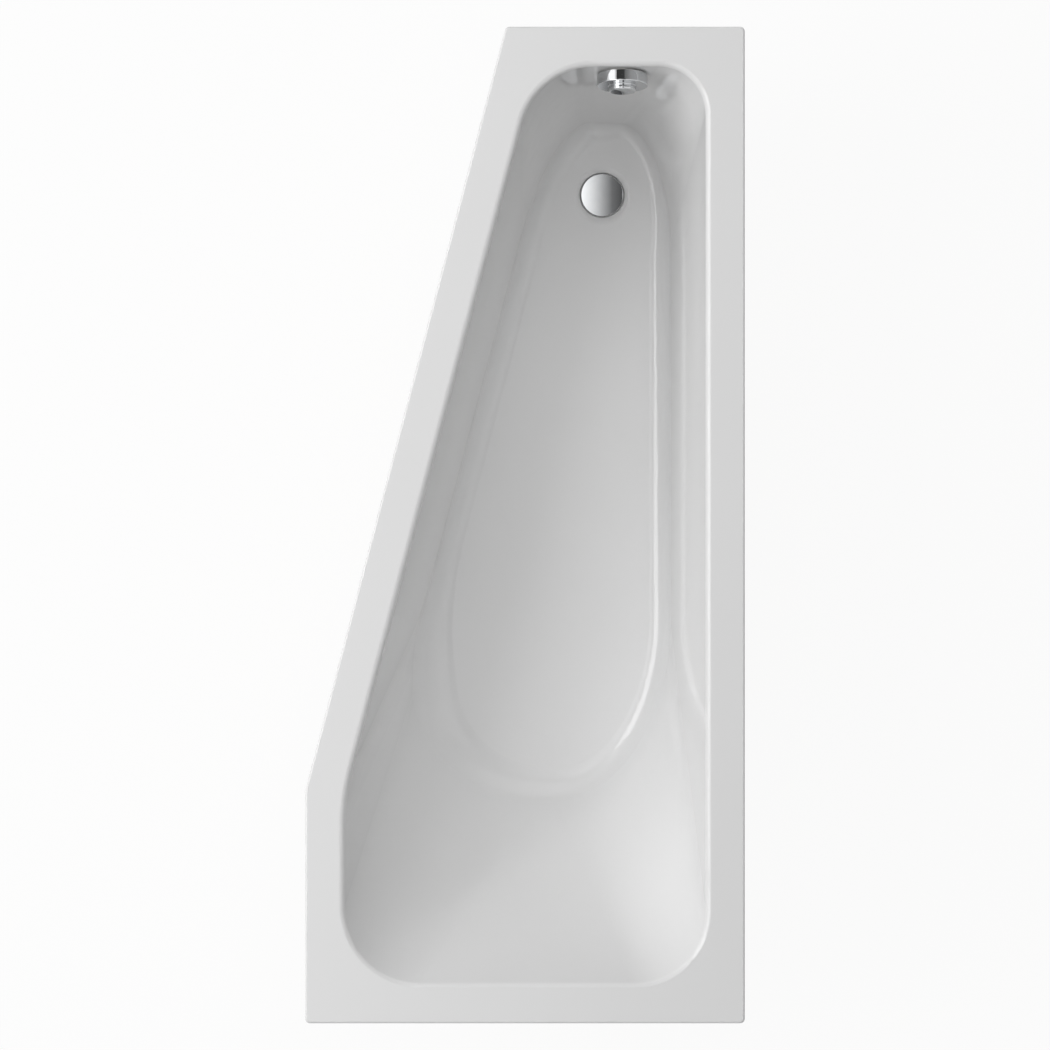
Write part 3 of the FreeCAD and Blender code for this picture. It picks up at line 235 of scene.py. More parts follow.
# %% [markdown]
# ## Metals of the working pieces
# Galvanised sheet shows spangle, the frozen zinc crystals, each of which mirrors the light at its own
# angle: cells of their own tone are just that. Plated screws and rods, the brass spindle and the satin
# steel of the drain have no crystals to see, only fine turning marks and a thin uneven film, so they
# share one function and differ in colour and dullness.

# %% Galvanised sheet
def galvanised_sheet():
    material, tree, shader, place = new_material("galvanised_sheet", Metallic=1.0)
    spangle = add_node(tree, "ShaderNodeTexVoronoi", {"Vector": place, "Scale": spread(9), "Randomness": 1.0})
    tone = add_node(tree, "ShaderNodeSeparateColor", {"Color": spangle.outputs["Color"]})
    tint = add_node(tree, "ShaderNodeMix", {
        FACTOR: tone.outputs["Red"], FIRST: linear("#9ba1a5"), SECOND: linear("#c9ced1"),
    }, data_type="RGBA")
    tree.links.new(tint.outputs[MIXED], shader.inputs["Base Color"])
    shine = add_node(tree, "ShaderNodeMapRange", {
        "Value": tone.outputs["Green"], "To Min": 0.28, "To Max": 0.5,
    })
    tree.links.new(shine.outputs["Result"], shader.inputs["Roughness"])
    relief = add_node(tree, "ShaderNodeBump", {
        "Height": tone.outputs["Blue"], "Strength": 0.15, "Distance": 0.1 * MM,
    })
    tree.links.new(relief.outputs["Normal"], shader.inputs["Normal"])
    return material


# %% Turned and plated metals
def turned_metal(name, dark, pale, smoothest, dullest):
    material, tree, shader, place = new_material(name, Metallic=1.0)
    film = add_node(tree, "ShaderNodeTexNoise", {"Vector": place, "Scale": spread(6), "Detail": 4.0})
    tint = add_node(tree, "ShaderNodeMix", {
        FACTOR: film.outputs["Fac"], FIRST: linear(dark), SECOND: linear(pale),
    }, data_type="RGBA")
    tree.links.new(tint.outputs[MIXED], shader.inputs["Base Color"])
    dull = add_node(tree, "ShaderNodeMapRange", {
        "Value": film.outputs["Fac"], "To Min": smoothest, "To Max": dullest,
    })
    tree.links.new(dull.outputs["Result"], shader.inputs["Roughness"])
    # real turning marks are finer than a render shows, so they are drawn this coarse
    marks = add_node(tree, "ShaderNodeTexNoise", {"Vector": place, "Scale": spread(0.8), "Detail": 2.0})
    relief = add_node(tree, "ShaderNodeBump", {
        "Height": marks.outputs["Fac"], "Strength": 0.08, "Distance": 0.05 * MM,
    })
    tree.links.new(relief.outputs["Normal"], shader.inputs["Normal"])
    return material


# %% [markdown]
# ## Plastics and rubber
# The waste set is moulded polypropylene: satin, a little waxy, with the fine texture of a spark-eroded
# mould. Feet and the cable's sheath are black and coarser, the seals are soft black rubber with a
# bloom of dust. What differs is colour, gloss and grain, so again one function makes them all.

# %% Moulded plastics
UNEVEN_GLOSS = 0.06


def moulded(name, dark, pale, gloss, grain, depth):
    material, tree, shader, place = new_material(name, IOR=1.49)
    shade = add_node(tree, "ShaderNodeTexNoise", {"Vector": place, "Scale": spread(35), "Detail": 3.0})
    tint = add_node(tree, "ShaderNodeMix", {
        FACTOR: shade.outputs["Fac"], FIRST: linear(dark), SECOND: linear(pale),
    }, data_type="RGBA")
    tree.links.new(tint.outputs[MIXED], shader.inputs["Base Color"])
    dull = add_node(tree, "ShaderNodeMapRange", {
        "Value": shade.outputs["Fac"], "To Min": gloss - UNEVEN_GLOSS, "To Max": gloss + UNEVEN_GLOSS,
    })
    tree.links.new(dull.outputs["Result"], shader.inputs["Roughness"])
    # a mould's real grain is finer still, and is drawn as coarse as it needs to show
    pores = add_node(tree, "ShaderNodeTexNoise", {"Vector": place, "Scale": spread(grain), "Detail": 2.0})
    relief = add_node(tree, "ShaderNodeBump", {
        "Height": pores.outputs["Fac"], "Strength": 0.25, "Distance": depth * MM,
    })
    tree.links.new(relief.outputs["Normal"], shader.inputs["Normal"])
    return material


# %% [markdown]
# ## Wood
# The battens are sawn softwood: pale early wood and darker late wood in bands, drawn out along the
# bar. Each bar lies another way, so the grain can't follow the room's axes. Every batten carries its
# own coordinates, along, across and up, in an attribute, and the material reads that. The board is
# chipboard: pressed chips of many tones, which cells with a random tone each show well.

# %% Softwood
GRAIN_PLACE = "along_the_bar"


def sawn_softwood():
    material, tree, shader, _ = new_material("sawn_softwood", Roughness=0.7, IOR=1.5)
    bar = add_node(tree, "ShaderNodeAttribute", attribute_name=GRAIN_PLACE)
    drawn = add_node(tree, "ShaderNodeMapping", {"Vector": bar.outputs["Vector"], "Scale": (0.06, 1.0, 1.0)})
    rings = add_node(tree, "ShaderNodeTexWave", {
        "Vector": drawn.outputs["Vector"], "Scale": spread(20), "Distortion": 6.0, "Detail": 2.0,
    }, wave_type="BANDS", bands_direction="DIAGONAL")
    fibres = add_node(tree, "ShaderNodeTexNoise", {
        "Vector": drawn.outputs["Vector"], "Scale": spread(1.2), "Detail": 3.0,
    })
    early = add_node(tree, "ShaderNodeMix", {
        FACTOR: rings.outputs["Fac"], FIRST: linear("#b98d57"), SECOND: linear("#e2c594"),
    }, data_type="RGBA")
    tint = add_node(tree, "ShaderNodeMix", {
        FACTOR: fibres.outputs["Fac"], FIRST: early.outputs[MIXED], SECOND: linear("#d8b985"),
    }, data_type="RGBA")
    tree.links.new(tint.outputs[MIXED], shader.inputs["Base Color"])
    relief = add_node(tree, "ShaderNodeBump", {
        "Height": fibres.outputs["Fac"], "Strength": 0.4, "Distance": 0.3 * MM,
    })
    tree.links.new(relief.outputs["Normal"], shader.inputs["Normal"])
    return material


# %% Chipboard
def pressed_chips():
    material, tree, shader, place = new_material("pressed_chips", Roughness=0.8, IOR=1.5)
    bent = add_node(tree, "ShaderNodeTexNoise", {"Vector": place, "Scale": spread(12), "Detail": 2.0})
    shifted = add_node(tree, "ShaderNodeVectorMath", {
        0: bent.outputs["Color"], 1: (4 * MM, 4 * MM, 4 * MM), 2: place,
    }, operation="MULTIPLY_ADD")
    flat = add_node(tree, "ShaderNodeMapping", {
        "Vector": shifted.outputs["Vector"], "Scale": (0.5, 1.0, 2.5),
    })
    chips = add_node(tree, "ShaderNodeTexVoronoi", {
        "Vector": flat.outputs["Vector"], "Scale": spread(5), "Randomness": 1.0,
    })
    tone = add_node(tree, "ShaderNodeSeparateColor", {"Color": chips.outputs["Color"]})
    tint = add_node(tree, "ShaderNodeMix", {
        FACTOR: tone.outputs["Red"], FIRST: linear("#9c7747"), SECOND: linear("#dcc193"),
    }, data_type="RGBA")
    tree.links.new(tint.outputs[MIXED], shader.inputs["Base Color"])
    relief = add_node(tree, "ShaderNodeBump", {
        "Height": tone.outputs["Green"], "Strength": 0.4, "Distance": 0.4 * MM,
    })
    tree.links.new(relief.outputs["Normal"], shader.inputs["Normal"])
    return material


# %% [markdown]
# ## Every node gets its finish
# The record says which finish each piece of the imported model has, by the name of a slot. One table
# turns slots to materials, so no piece can be forgotten.

# %% Finishes by slot
FINISHES = {
    "acrylic": cast_acrylic(),
    "chipboard": pressed_chips(),
    "softwood": sawn_softwood(),
    "galvanised_steel": galvanised_sheet(),
    "zinc_steel": turned_metal("zinc_plated_steel", "#a9aaa2", "#d2d3cc", 0.22, 0.38),
    "black_plastic": moulded("black_polyethylene", "#141517", "#202124", 0.48, 1.0, 0.15),
    "stainless_steel": turned_metal("satin_stainless", "#b9babb", "#d6d7d8", 0.2, 0.3),
    "chrome": bright_chrome(),
    "brass": turned_metal("turned_brass", "#b08a3c", "#d8b765", 0.2, 0.32),
    "white_plastic": moulded("white_polypropylene", "#dedcd5", "#e8e6e0", 0.36, 0.8, 0.08),
    "grey_plastic": moulded("grey_polypropylene", "#7f8488", "#92979a", 0.4, 0.8, 0.08),
    "rubber": moulded("soft_rubber", "#1b1b1c", "#2a2a2b", 0.7, 0.6, 0.12),
}
SLOTS = {part["node"]: part["material_slot"] for part in frame["record"]["subparts"]}
for node, thing in frame["nodes"].items():
    for place in thing.material_slots:
        place.material = FINISHES[SLOTS[node]]
print(len(FINISHES), "finishes on", len(SLOTS), "nodes")

# %% [markdown]
# ## From a mesh to a piece
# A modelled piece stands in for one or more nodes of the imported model. It takes their finish, rides on
# their body and hides them. Its doubles are merged first, then its faces are turned outwards, and
# edges sharper than a bend of about thirty degrees stay crisp in the shading. Beside a small round, a
# large flat face would shade like a pillow, so its area is given more say in the normals.

# %% Helper for every modelled piece
MERGE = 0.002 * MM
CRISP = math.radians(32)
SAY_OF_LARGE_FACES = 100


def box_of(*nodes):
    """The lowest corner, the highest corner and the middle of some nodes."""
    corners = [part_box(node) for node in nodes]
    low = Vector([min(pair[0][i] for pair in corners) for i in range(3)])
    high = Vector([max(pair[1][i] for pair in corners) for i in range(3)])
    return low, high, (low + high) / 2


def make_piece(name, bm, *nodes):
    """An object from a closed mesh, in place of its nodes."""
    bmesh.ops.remove_doubles(bm, verts=bm.verts[:], dist=MERGE)
    bmesh.ops.recalc_face_normals(bm, faces=bm.faces[:])
    open_edges = sum(len(edge.link_faces) != 2 for edge in bm.edges)
    mesh = bpy.data.meshes.new(name)
    bm.to_mesh(mesh)
    bm.free()
    mesh.shade_smooth()
    mesh.set_sharp_from_angle(angle=CRISP)
    slot = SLOTS[nodes[0]]
    mesh.materials.append(FINISHES[slot])
    piece = bpy.data.objects.new(name, mesh)
    bpy.context.scene.collection.objects.link(piece)
    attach(piece, body_of(frame["nodes"][nodes[0]])[0])
    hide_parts(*nodes)
    flat = piece.modifiers.new("flat_faces", "WEIGHTED_NORMAL")
    flat.keep_sharp = True
    flat.weight = SAY_OF_LARGE_FACES
    print(f"{name}: {len(mesh.polygons)} faces, {open_edges} open edges")
    return piece


# %% [markdown]
# ## Turned pieces
# Most round pieces were turned or moulded in a round tool. Half of their section is drawn as a line of
# points, a bevel on a point rounds that corner, and a spin makes the whole. A Screw modifier could do
# the same, but the spin leaves a plain mesh that can be edited further.

# %% Spin a rounded profile
ROUND_STEPS = 4
UP = (0, 0, 1)


def turned(profile, steps=96):
    """A mesh about Z from (radius, height, rounding) in mm: from axis to axis, or a closed ring."""
    bm = bmesh.new()
    points = [bm.verts.new((radius * MM, 0, height * MM)) for radius, height, rounding in profile]
    pairs = list(zip(points, points[1:]))
    if profile[0][0] > 0:
        pairs.append((points[-1], points[0]))
    for pair in pairs:
        bm.edges.new(pair)
    for point, (radius, height, rounding) in zip(points, profile):
        if rounding:
            bmesh.ops.bevel(bm, geom=[point], affect="VERTICES", offset=rounding * MM, offset_type="OFFSET",
                            segments=ROUND_STEPS, profile=0.5, material=-1)
    bmesh.ops.spin(bm, geom=bm.verts[:] + bm.edges[:], cent=(0, 0, 0), axis=UP, angle=math.tau,
                   steps=steps, use_merge=True)
    bmesh.ops.remove_doubles(bm, verts=bm.verts[:], dist=MERGE)
    bmesh.ops.recalc_face_normals(bm, faces=bm.faces[:])
    return bm


def placed(bm, matrix):
    bmesh.ops.transform(bm, matrix=matrix, verts=bm.verts[:])
    return bm


def stood_on(place, axis, across=(1, 0, 0)):
    """The matrix that stands a piece on a place, its own Z along an axis."""
    axis = Vector(axis).normalized()
    side = axis.cross(Vector(across)).normalized()
    turn = Matrix((side.cross(axis), side, axis)).transposed()
    return Matrix.Translation(place) @ turn.to_4x4()


# %% [markdown]
# ## The knob
# Turning the knob on the overflow lifts the plug. It is a hollow die-cast cap with a shallow boss, and
# its hub takes the spindle. Die casting leaves every edge a little round, and the rounded edges catch
# the thin lines of light that make chrome look like metal.

# %% Knob
KNOB_GAP = 3
KNOB_DEPTH = 19
KNOB_WALL = 3
BOSS_RADIUS = 23.4
BOSS_DEPTH = 10
HUB_RADIUS = 9
HUB_GAP = 4
SPINDLE_BORE = 4.06
SPINDLE_IN_KNOB = 20

turn = next(joint for joint in frame["joints"] if joint["name"] == "knob_turn")
KNOB_PLACE = stood_on(turn["pos_m"], turn["axis"])
knob_low, knob_high, _ = box_of("knob")
KNOB_RADIUS = (knob_high.x - knob_low.x) / 2 / MM


def knob():
    edge = KNOB_GAP + KNOB_DEPTH
    front = edge + BOSS_DEPTH
    plate = edge - KNOB_WALL
    bore_end = HUB_GAP + SPINDLE_IN_KNOB
    inside = KNOB_RADIUS - KNOB_WALL
    return turned([
        (0, bore_end, 0),
        (SPINDLE_BORE, bore_end, 0),
        (SPINDLE_BORE, HUB_GAP, 0.3),
        (HUB_RADIUS, HUB_GAP, 0.6),
        (HUB_RADIUS, plate, 1.0),
        (inside, plate, 1.5),
        (inside, KNOB_GAP, 0.4),
        (KNOB_RADIUS, KNOB_GAP, 0.5),
        (KNOB_RADIUS, edge, 1.4),
        (BOSS_RADIUS, edge, 1.2),
        (BOSS_RADIUS, front, 3.5),
        (0, front, 0),
    ], steps=128)


make_piece("knob_cap", placed(knob(), KNOB_PLACE), "knob")

# %% [markdown]
# ## The plug
# The plug is a crowned disc: a flat one would mirror one spot of the ceiling and go blank. The crown is
# a shallow cap whose height follows the square of the radius, close to a sphere at this size, and its
# thin edge is rounded over.

# %% Plug
PLUG_CROWN = 2
CROWN_RINGS = 14

plug_low, plug_high, plug_middle = box_of("plug_cover")
PLUG_RADIUS = (plug_high.x - plug_low.x) / 2 / MM
PLUG_HEIGHT = (plug_high.z - plug_low.z) / MM


def plug_disc():
    crown = []
    for ring in range(1, CROWN_RINGS):
        share = 1 - ring / CROWN_RINGS
        crown.append((PLUG_RADIUS * share, PLUG_HEIGHT - PLUG_CROWN * share ** 2, 0))
    edge = PLUG_HEIGHT - PLUG_CROWN
    return turned([(0, 0, 0), (PLUG_RADIUS, 0, 0.5), (PLUG_RADIUS, edge, 0.3)] + crown
                  + [(0, PLUG_HEIGHT, 0)], steps=128)


make_piece("plug_disc", placed(plug_disc(), Matrix.Translation((plug_middle.x, plug_middle.y, plug_low.z))),
           "plug_cover")

# %% [markdown]
# ## Threaded rods
# Each leg is a length of M10 threaded rod. A bump could draw the thread, but its outline would stay
# straight, so the thread is real: one tooth is spun up along the rod, a pitch for each turn, and a cut
# at both ends leaves the flat faces of a sawn rod.

# %% Rods
PITCH = 1.5
THREAD_DEPTH = 0.92
CREST = PITCH / 8
STEPS_PER_TURN = 18
SPARE_TURNS = 2
LEGS = ("drain_left", "drain_right", "foot_left", "foot_right")


def threaded_rod(radius, length):
    bm = bmesh.new()
    root = radius - THREAD_DEPTH
    points = [(root, -PITCH / 2), (radius, -CREST / 2), (radius, CREST / 2), (root, PITCH / 2)]
    tooth = [bm.verts.new((reach * MM, 0, (height - PITCH) * MM)) for reach, height in points]
    for pair in zip(tooth, tooth[1:]):
        bm.edges.new(pair)
    turns = math.ceil(length / PITCH) + SPARE_TURNS
    rise = PITCH / STEPS_PER_TURN * MM
    bmesh.ops.spin(bm, geom=bm.verts[:] + bm.edges[:], cent=(0, 0, 0), axis=UP, angle=turns * math.tau,
                   dvec=(0, 0, rise), steps=turns * STEPS_PER_TURN)
    bmesh.ops.remove_doubles(bm, verts=bm.verts[:], dist=MERGE)
    for height, outward in ((0, -1), (length, 1)):
        sawn = bmesh.ops.bisect_plane(bm, geom=bm.verts[:] + bm.edges[:] + bm.faces[:], clear_outer=True,
                                      plane_co=(0, 0, height * MM), plane_no=(0, 0, outward))
        rim = [item for item in sawn["geom_cut"] if isinstance(item, bmesh.types.BMEdge)]
        bmesh.ops.edgeloop_fill(bm, edges=rim)
    return bm


low, high, _ = box_of(f"leg_rod_{LEGS[0]}")
rod = threaded_rod((high.x - low.x) / 2 / MM, (high.z - low.z) / MM)
for leg in LEGS:
    low, _, middle = box_of(f"leg_rod_{leg}")
    make_piece(f"threaded_rod_{leg}", placed(rod.copy(), Matrix.Translation((middle.x, middle.y, low.z))),
               f"leg_rod_{leg}")
rod.free()

# %% [markdown]
# ## Levelling feet
# A foot is a moulded plate with a hub for the rod, stiffened by ribs that fall from the hub to the
# edge. Plate and hub are turned. A rib starts as a cube, a slanted cut gives it its slope, and a spin
# that copies it sets the rest around the hub.

# %% Feet
FOOT_EDGE = 5
HUB_OF_FOOT = 12.5
ROD_SOCKET = 5.3
SOCKET_FLOOR = 8
RIB_COUNT = 8
RIB_WIDTH = 2.6
RIB_TOP_GAP = 2
RIB_END_GAP = 2.5
RIB_SINK = 1
RIB_SHOULDER = 2


def foot(radius, height):
    bm = turned([
        (0, 0, 0),
        (radius, 0, 0.8),
        (radius, FOOT_EDGE, 1.5),
        (HUB_OF_FOOT, FOOT_EDGE, 1.0),
        (HUB_OF_FOOT, height, 1.2),
        (ROD_SOCKET, height, 0.4),
        (ROD_SOCKET, SOCKET_FLOOR, 0),
        (0, SOCKET_FLOOR, 0),
    ], steps=72)
    inner = HUB_OF_FOOT - RIB_SINK
    outer = radius - RIB_END_GAP
    bottom = FOOT_EDGE - RIB_SINK
    top = height - RIB_TOP_GAP
    rib = bmesh.ops.create_cube(bm, size=1)["verts"]
    size = ((outer - inner) * MM, RIB_WIDTH * MM, (top - bottom) * MM)
    bmesh.ops.scale(bm, vec=size, verts=rib)
    bmesh.ops.translate(bm, vec=((inner + outer) / 2 * MM, 0, (bottom + top) / 2 * MM), verts=rib)
    shape = rib + list({edge for vert in rib for edge in vert.link_edges})
    shape += list({face for vert in rib for face in vert.link_faces})
    slope = Vector((top - bottom, 0, outer - inner - RIB_SHOULDER)).normalized()
    sawn = bmesh.ops.bisect_plane(bm, geom=shape, clear_outer=True, plane_no=slope,
                                  plane_co=((inner + RIB_SHOULDER) * MM, 0, top * MM))
    rim = [item for item in sawn["geom_cut"] if isinstance(item, bmesh.types.BMEdge)]
    bmesh.ops.edgeloop_fill(bm, edges=rim)
    whole = [item for item in sawn["geom"] + sawn["geom_cut"] if item.is_valid]
    faces = {face for item in whole if isinstance(item, bmesh.types.BMVert) for face in item.link_faces}
    bmesh.ops.spin(bm, geom=list(faces), cent=(0, 0, 0), axis=UP, angle=math.tau * (1 - 1 / RIB_COUNT),
                   steps=RIB_COUNT - 1, use_duplicate=True)
    return bm


for leg in LEGS:
    low, high, middle = box_of(f"foot_pad_{leg}")
    pad = foot((high.x - low.x) / 2 / MM, (high.z - low.z) / MM)
    make_piece(f"levelling_foot_{leg}", placed(pad, Matrix.Translation((middle.x, middle.y, low.z))),
               f"foot_pad_{leg}")

# %% [markdown]
# ## Ribbed union nuts
# The waste set is put together by hand with four ring nuts, ribbed so that a wet hand can turn them.
# The ring is turned in as many steps as there are ribs and grooves, and an inset that also rises lifts
# every other face of its outer wall into a rib with sloping sides.

# %% Union nuts
RIBS = 30
RIB_RISE = 1.3
RIB_SLOPE = 0.35
BORE_ROUND = 0.4
RING_ROUND = 1.2
LIP_ROUND = 0.3
UPRIGHT = 0.01
WALL_BAND = 1
WASTE_NUT = {"radius": 27, "bore": 20.3, "height": 18, "lip_bore": 20.3, "lip": 4}
OVERFLOW_NUT = {"radius": 24.5, "bore": 19.6, "height": 20, "lip_bore": 16.3, "lip": 4}


def ribbed_nut(radius, bore, height, lip_bore, lip):
    wall = radius - RIB_RISE
    profile = [
        (bore, 0, BORE_ROUND),
        (wall, 0, RING_ROUND),
        (wall, height, RING_ROUND),
        (lip_bore, height, BORE_ROUND),
    ]
    if lip_bore < bore:
        profile += [(lip_bore, height - lip, LIP_ROUND), (bore, height - lip, 0)]
    bm = turned(profile, steps=2 * RIBS)
    raised = []
    for face in bm.faces:
        middle = face.calc_center_median()
        upright = abs(face.normal.z) < UPRIGHT and middle.xy.length > (wall - WALL_BAND) * MM
        place = round(math.atan2(middle.y, middle.x) / math.tau * 2 * RIBS - 0.5)
        if upright and place % 2 == 0:
            raised.append(face)
    bmesh.ops.inset_individual(bm, faces=raised, thickness=RIB_SLOPE * MM, depth=RIB_RISE * MM)
    bmesh.ops.translate(bm, vec=(0, 0, -height / 2 * MM), verts=bm.verts[:])
    return bm


down_the_wall = -KNOB_PLACE.col[1].xyz
lower_middle = box_of("overflow_nut_lower")[2]
UNIONS = {
    "trap_nut": (WASTE_NUT, Vector((0, 0, -1))),
    "outlet_nut": (WASTE_NUT, Vector((1, 0, 0))),
    "overflow_nut_upper": (OVERFLOW_NUT, down_the_wall),
    "overflow_nut_lower": (OVERFLOW_NUT, Vector((*(lower_middle - plug_middle).xy, 0))),
}
NEARLY_ALONG_X = 0.9
for node, (sizes, axis) in UNIONS.items():
    side = (0, 1, 0) if abs(axis.x) > NEARLY_ALONG_X else (1, 0, 0)
    make_piece("ribbed_" + node, placed(ribbed_nut(**sizes), stood_on(box_of(node)[2], axis, side)), node)

# %% [markdown]
# ## Battens
# Five battens under the rim stiffen it and take the screws of the brackets or the apron. A batten is a
# sawn bar, and no saw leaves a razor edge: a merged copy of the node is bevelled, and its own
# coordinates are stored for the grain.

# %% Battens
EASE_OF_BATTEN = 1.2
BATTENS = ("wall_side", "drain_end", "slant_side", "left_side", "foot_end")
FLAT = math.radians(1)
EDGE = math.radians(40)


def eased_copy(node, ease, segments=2):
    """A merged copy of a node, its sharp edges eased by a small round."""
    bm = bmesh.new()
    bm.from_mesh(frame["nodes"][node].data)
    bmesh.ops.remove_doubles(bm, verts=bm.verts[:], dist=MERGE)
    bmesh.ops.dissolve_limit(bm, angle_limit=FLAT, verts=bm.verts[:], edges=bm.edges[:])
    sharp = [edge for edge in bm.edges if len(edge.link_faces) == 2 and edge.calc_face_angle() > EDGE]
    bmesh.ops.bevel(bm, geom=sharp, affect="EDGES", offset=ease * MM, offset_type="OFFSET",
                    segments=segments, profile=0.5, material=-1, clamp_overlap=True)
    return bm


for number, side in enumerate(BATTENS):
    node = "batten_" + side
    copy = eased_copy(node, EASE_OF_BATTEN)
    longest = max(copy.edges, key=lambda edge: edge.calc_length())
    along = (longest.verts[1].co - longest.verts[0].co).normalized()
    piece = make_piece("sawn_" + node, copy, node)
    middle = box_of(node)[2]
    grain = piece.data.attributes.new(GRAIN_PLACE, "FLOAT_VECTOR", "POINT")
    for vert, value in zip(piece.data.vertices, grain.data):
        reach = vert.co - middle
        value.vector = (reach.dot(along) + number, reach.dot(along.cross(Vector(UP))), reach.z)

# %% [markdown]
# ## Leg rails
# The two rails are channels folded from steel sheet, so their corners are bends and not edges. The
# section is a line of four points, a bevel rounds its two bends, an extrude draws it along the rail,
# and solidify gives the sheet its thickness.

# %% Rails
RAIL_SHEET = 2.5
RAIL_BEND = 5
BEND_STEPS = 6


def folded_rail(node):
    low, high, _ = box_of(node)
    bm = bmesh.new()
    corners = [(low.y, low.z), (low.y, high.z), (high.y, high.z), (high.y, low.z)]
    points = [bm.verts.new((low.x, *corner)) for corner in corners]
    for pair in zip(points, points[1:]):
        bm.edges.new(pair)
    bmesh.ops.bevel(bm, geom=points[1:-1], affect="VERTICES", offset=RAIL_BEND * MM, offset_type="OFFSET",
                    segments=BEND_STEPS, profile=0.5, material=-1)
    drawn = bmesh.ops.extrude_edge_only(bm, edges=bm.edges[:])
    moved = [item for item in drawn["geom"] if isinstance(item, bmesh.types.BMVert)]
    bmesh.ops.translate(bm, vec=(high.x - low.x, 0, 0), verts=moved)
    bmesh.ops.recalc_face_normals(bm, faces=bm.faces[:])
    upward = max(bm.faces, key=lambda face: face.calc_center_median().z)
    if upward.normal.z < 0:
        bmesh.ops.reverse_faces(bm, faces=bm.faces[:])
    bmesh.ops.solidify(bm, geom=bm.faces[:], thickness=RAIL_SHEET * MM)
    return bm


for node in ("front_leg_rail", "rear_leg_rail"):
    piece = make_piece("folded_" + node, folded_rail(node), node)
    print(node, [round(side / MM, 1) for side in piece.dimensions])

# %% [markdown]
# ## Screws and nuts
# These are small, bought pieces. Merged copies of the nodes keep their places. A small round eases
# their edges, and an inset sinks the socket for the driver into each screw's head.

# %% Nuts and screws
NUT_EASE = 0.9
SCREW_EASE = 0.5
SOCKET_RIM = 2.2
SOCKET_DEPTH = 1.4
SOCKET_TAPER = SCREW_EASE / 4
NEAR = 0.1 * MM
FACING = 0.99
FEWEST_CORNERS = 8

for node in ("weld_nuts", "lock_nuts"):
    make_piece("hexagon_" + node, eased_copy(node, NUT_EASE), node)


def socket_screws(node, axis):
    """Screws of a node, their heads facing along an axis, with a sunk socket."""
    bm = eased_copy(node, SCREW_EASE)
    axis = Vector(axis)
    bmesh.ops.recalc_face_normals(bm, faces=bm.faces[:])
    furthest = max(vert.co.dot(axis) for vert in bm.verts)
    heads = [face for face in bm.faces
             if face.normal.dot(axis) > FACING and furthest - face.calc_center_median().dot(axis) < NEAR
             and len(face.verts) > FEWEST_CORNERS]
    bmesh.ops.inset_individual(bm, faces=heads, thickness=SOCKET_RIM * MM)
    bmesh.ops.inset_individual(bm, faces=heads, thickness=SOCKET_TAPER * MM, depth=-SOCKET_DEPTH * MM)
    print(node, len(heads), "heads")
    return bm


make_piece("socket_rail_screws", socket_screws("rail_screws", (0, 0, -1)), "rail_screws")
make_piece("socket_overflow_screws", socket_screws("overflow_screws", turn["axis"]), "overflow_screws")

# %% [markdown]
# ## The floor
# The tub stands on a plain pale floor. To the camera, and in mirrors, the floor is nearly white by
# itself, as on a product page, and the small rest is real paper that takes the tub's shadow.

# %% Floor
FLOOR_REACH = 12
SELF_WHITE = 0.93


def add_stage(name, bm, material):
    mesh = bpy.data.meshes.new(name)
    bm.to_mesh(mesh)
    bm.free()
    mesh.materials.append(material)
    thing = bpy.data.objects.new(name, mesh)
    bpy.context.scene.collection.objects.link(thing)
    thing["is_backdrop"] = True
    return thing


def seen_directly(tree):
    """One for rays from the camera and from mirrors and glass, else nothing."""
    paths = add_node(tree, "ShaderNodeLightPath")
    seen = add_node(tree, "ShaderNodeMath", {
        0: paths.outputs["Is Camera Ray"], 1: paths.outputs["Is Glossy Ray"],
    }, operation="MAXIMUM")
    return add_node(tree, "ShaderNodeMath", {
        0: seen.outputs[0], 1: paths.outputs["Is Transmission Ray"],
    }, operation="MAXIMUM").outputs[0]


def paper_floor():
    material = bpy.data.materials.new("paper_floor")
    material.use_nodes = True
    tree = material.node_tree
    tree.nodes.clear()
    share = add_node(tree, "ShaderNodeMath", {0: seen_directly(tree), 1: SELF_WHITE}, operation="MULTIPLY")
    paper = add_node(tree, "ShaderNodeBsdfDiffuse", {"Color": linear("#e8e8e8")})
    glow = add_node(tree, "ShaderNodeEmission", {"Color": linear("#ffffff"), "Strength": 1.0})
    mix = add_node(tree, "ShaderNodeMixShader", {
        0: share.outputs[0], 1: paper.outputs[0], 2: glow.outputs[0],
    })
    add_node(tree, "ShaderNodeOutputMaterial", {"Surface": mix.outputs[0]})
    return material


bm = bmesh.new()
bmesh.ops.create_grid(bm, x_segments=1, y_segments=1, size=FLOOR_REACH)
add_stage("floor", bm, paper_floor())
print("a floor of", 2 * FLOOR_REACH, "m")

# %% [markdown]
# ## The room's light
# A white room seen directly, and a soft grey fill for everything that it lights. Four large soft lamps
# do the rest: two on the slanted side, low and high, one over the drain end that looks down to the
# backrest, and a weak one straight above. Only the high one on the side shows in the gloss, as the
# bright line along the floor's edge; the others stand for light that comes back from white walls.

# %% World
ROOM_FILL = 0.19

world = bpy.data.worlds.new("studio")
bpy.context.scene.world = world
world.use_nodes = True
tree = world.node_tree
tree.nodes.clear()
white = add_node(tree, "ShaderNodeBackground", {"Color": linear("#ffffff"), "Strength": 1.0})
fill = add_node(tree, "ShaderNodeBackground", {"Color": linear("#ffffff"), "Strength": ROOM_FILL})
either = add_node(tree, "ShaderNodeMixShader", {
    0: seen_directly(tree), 1: fill.outputs[0], 2: white.outputs[0],
})
add_node(tree, "ShaderNodeOutputWorld", {"Surface": either.outputs[0]})
print("a white room that fills with", ROOM_FILL)

# %% Lamps
LAMP_TARGET = Vector((0.05, 0, 0.4))
LAMP_DISTANCE = 8
LAMP_SIZE = 4.2


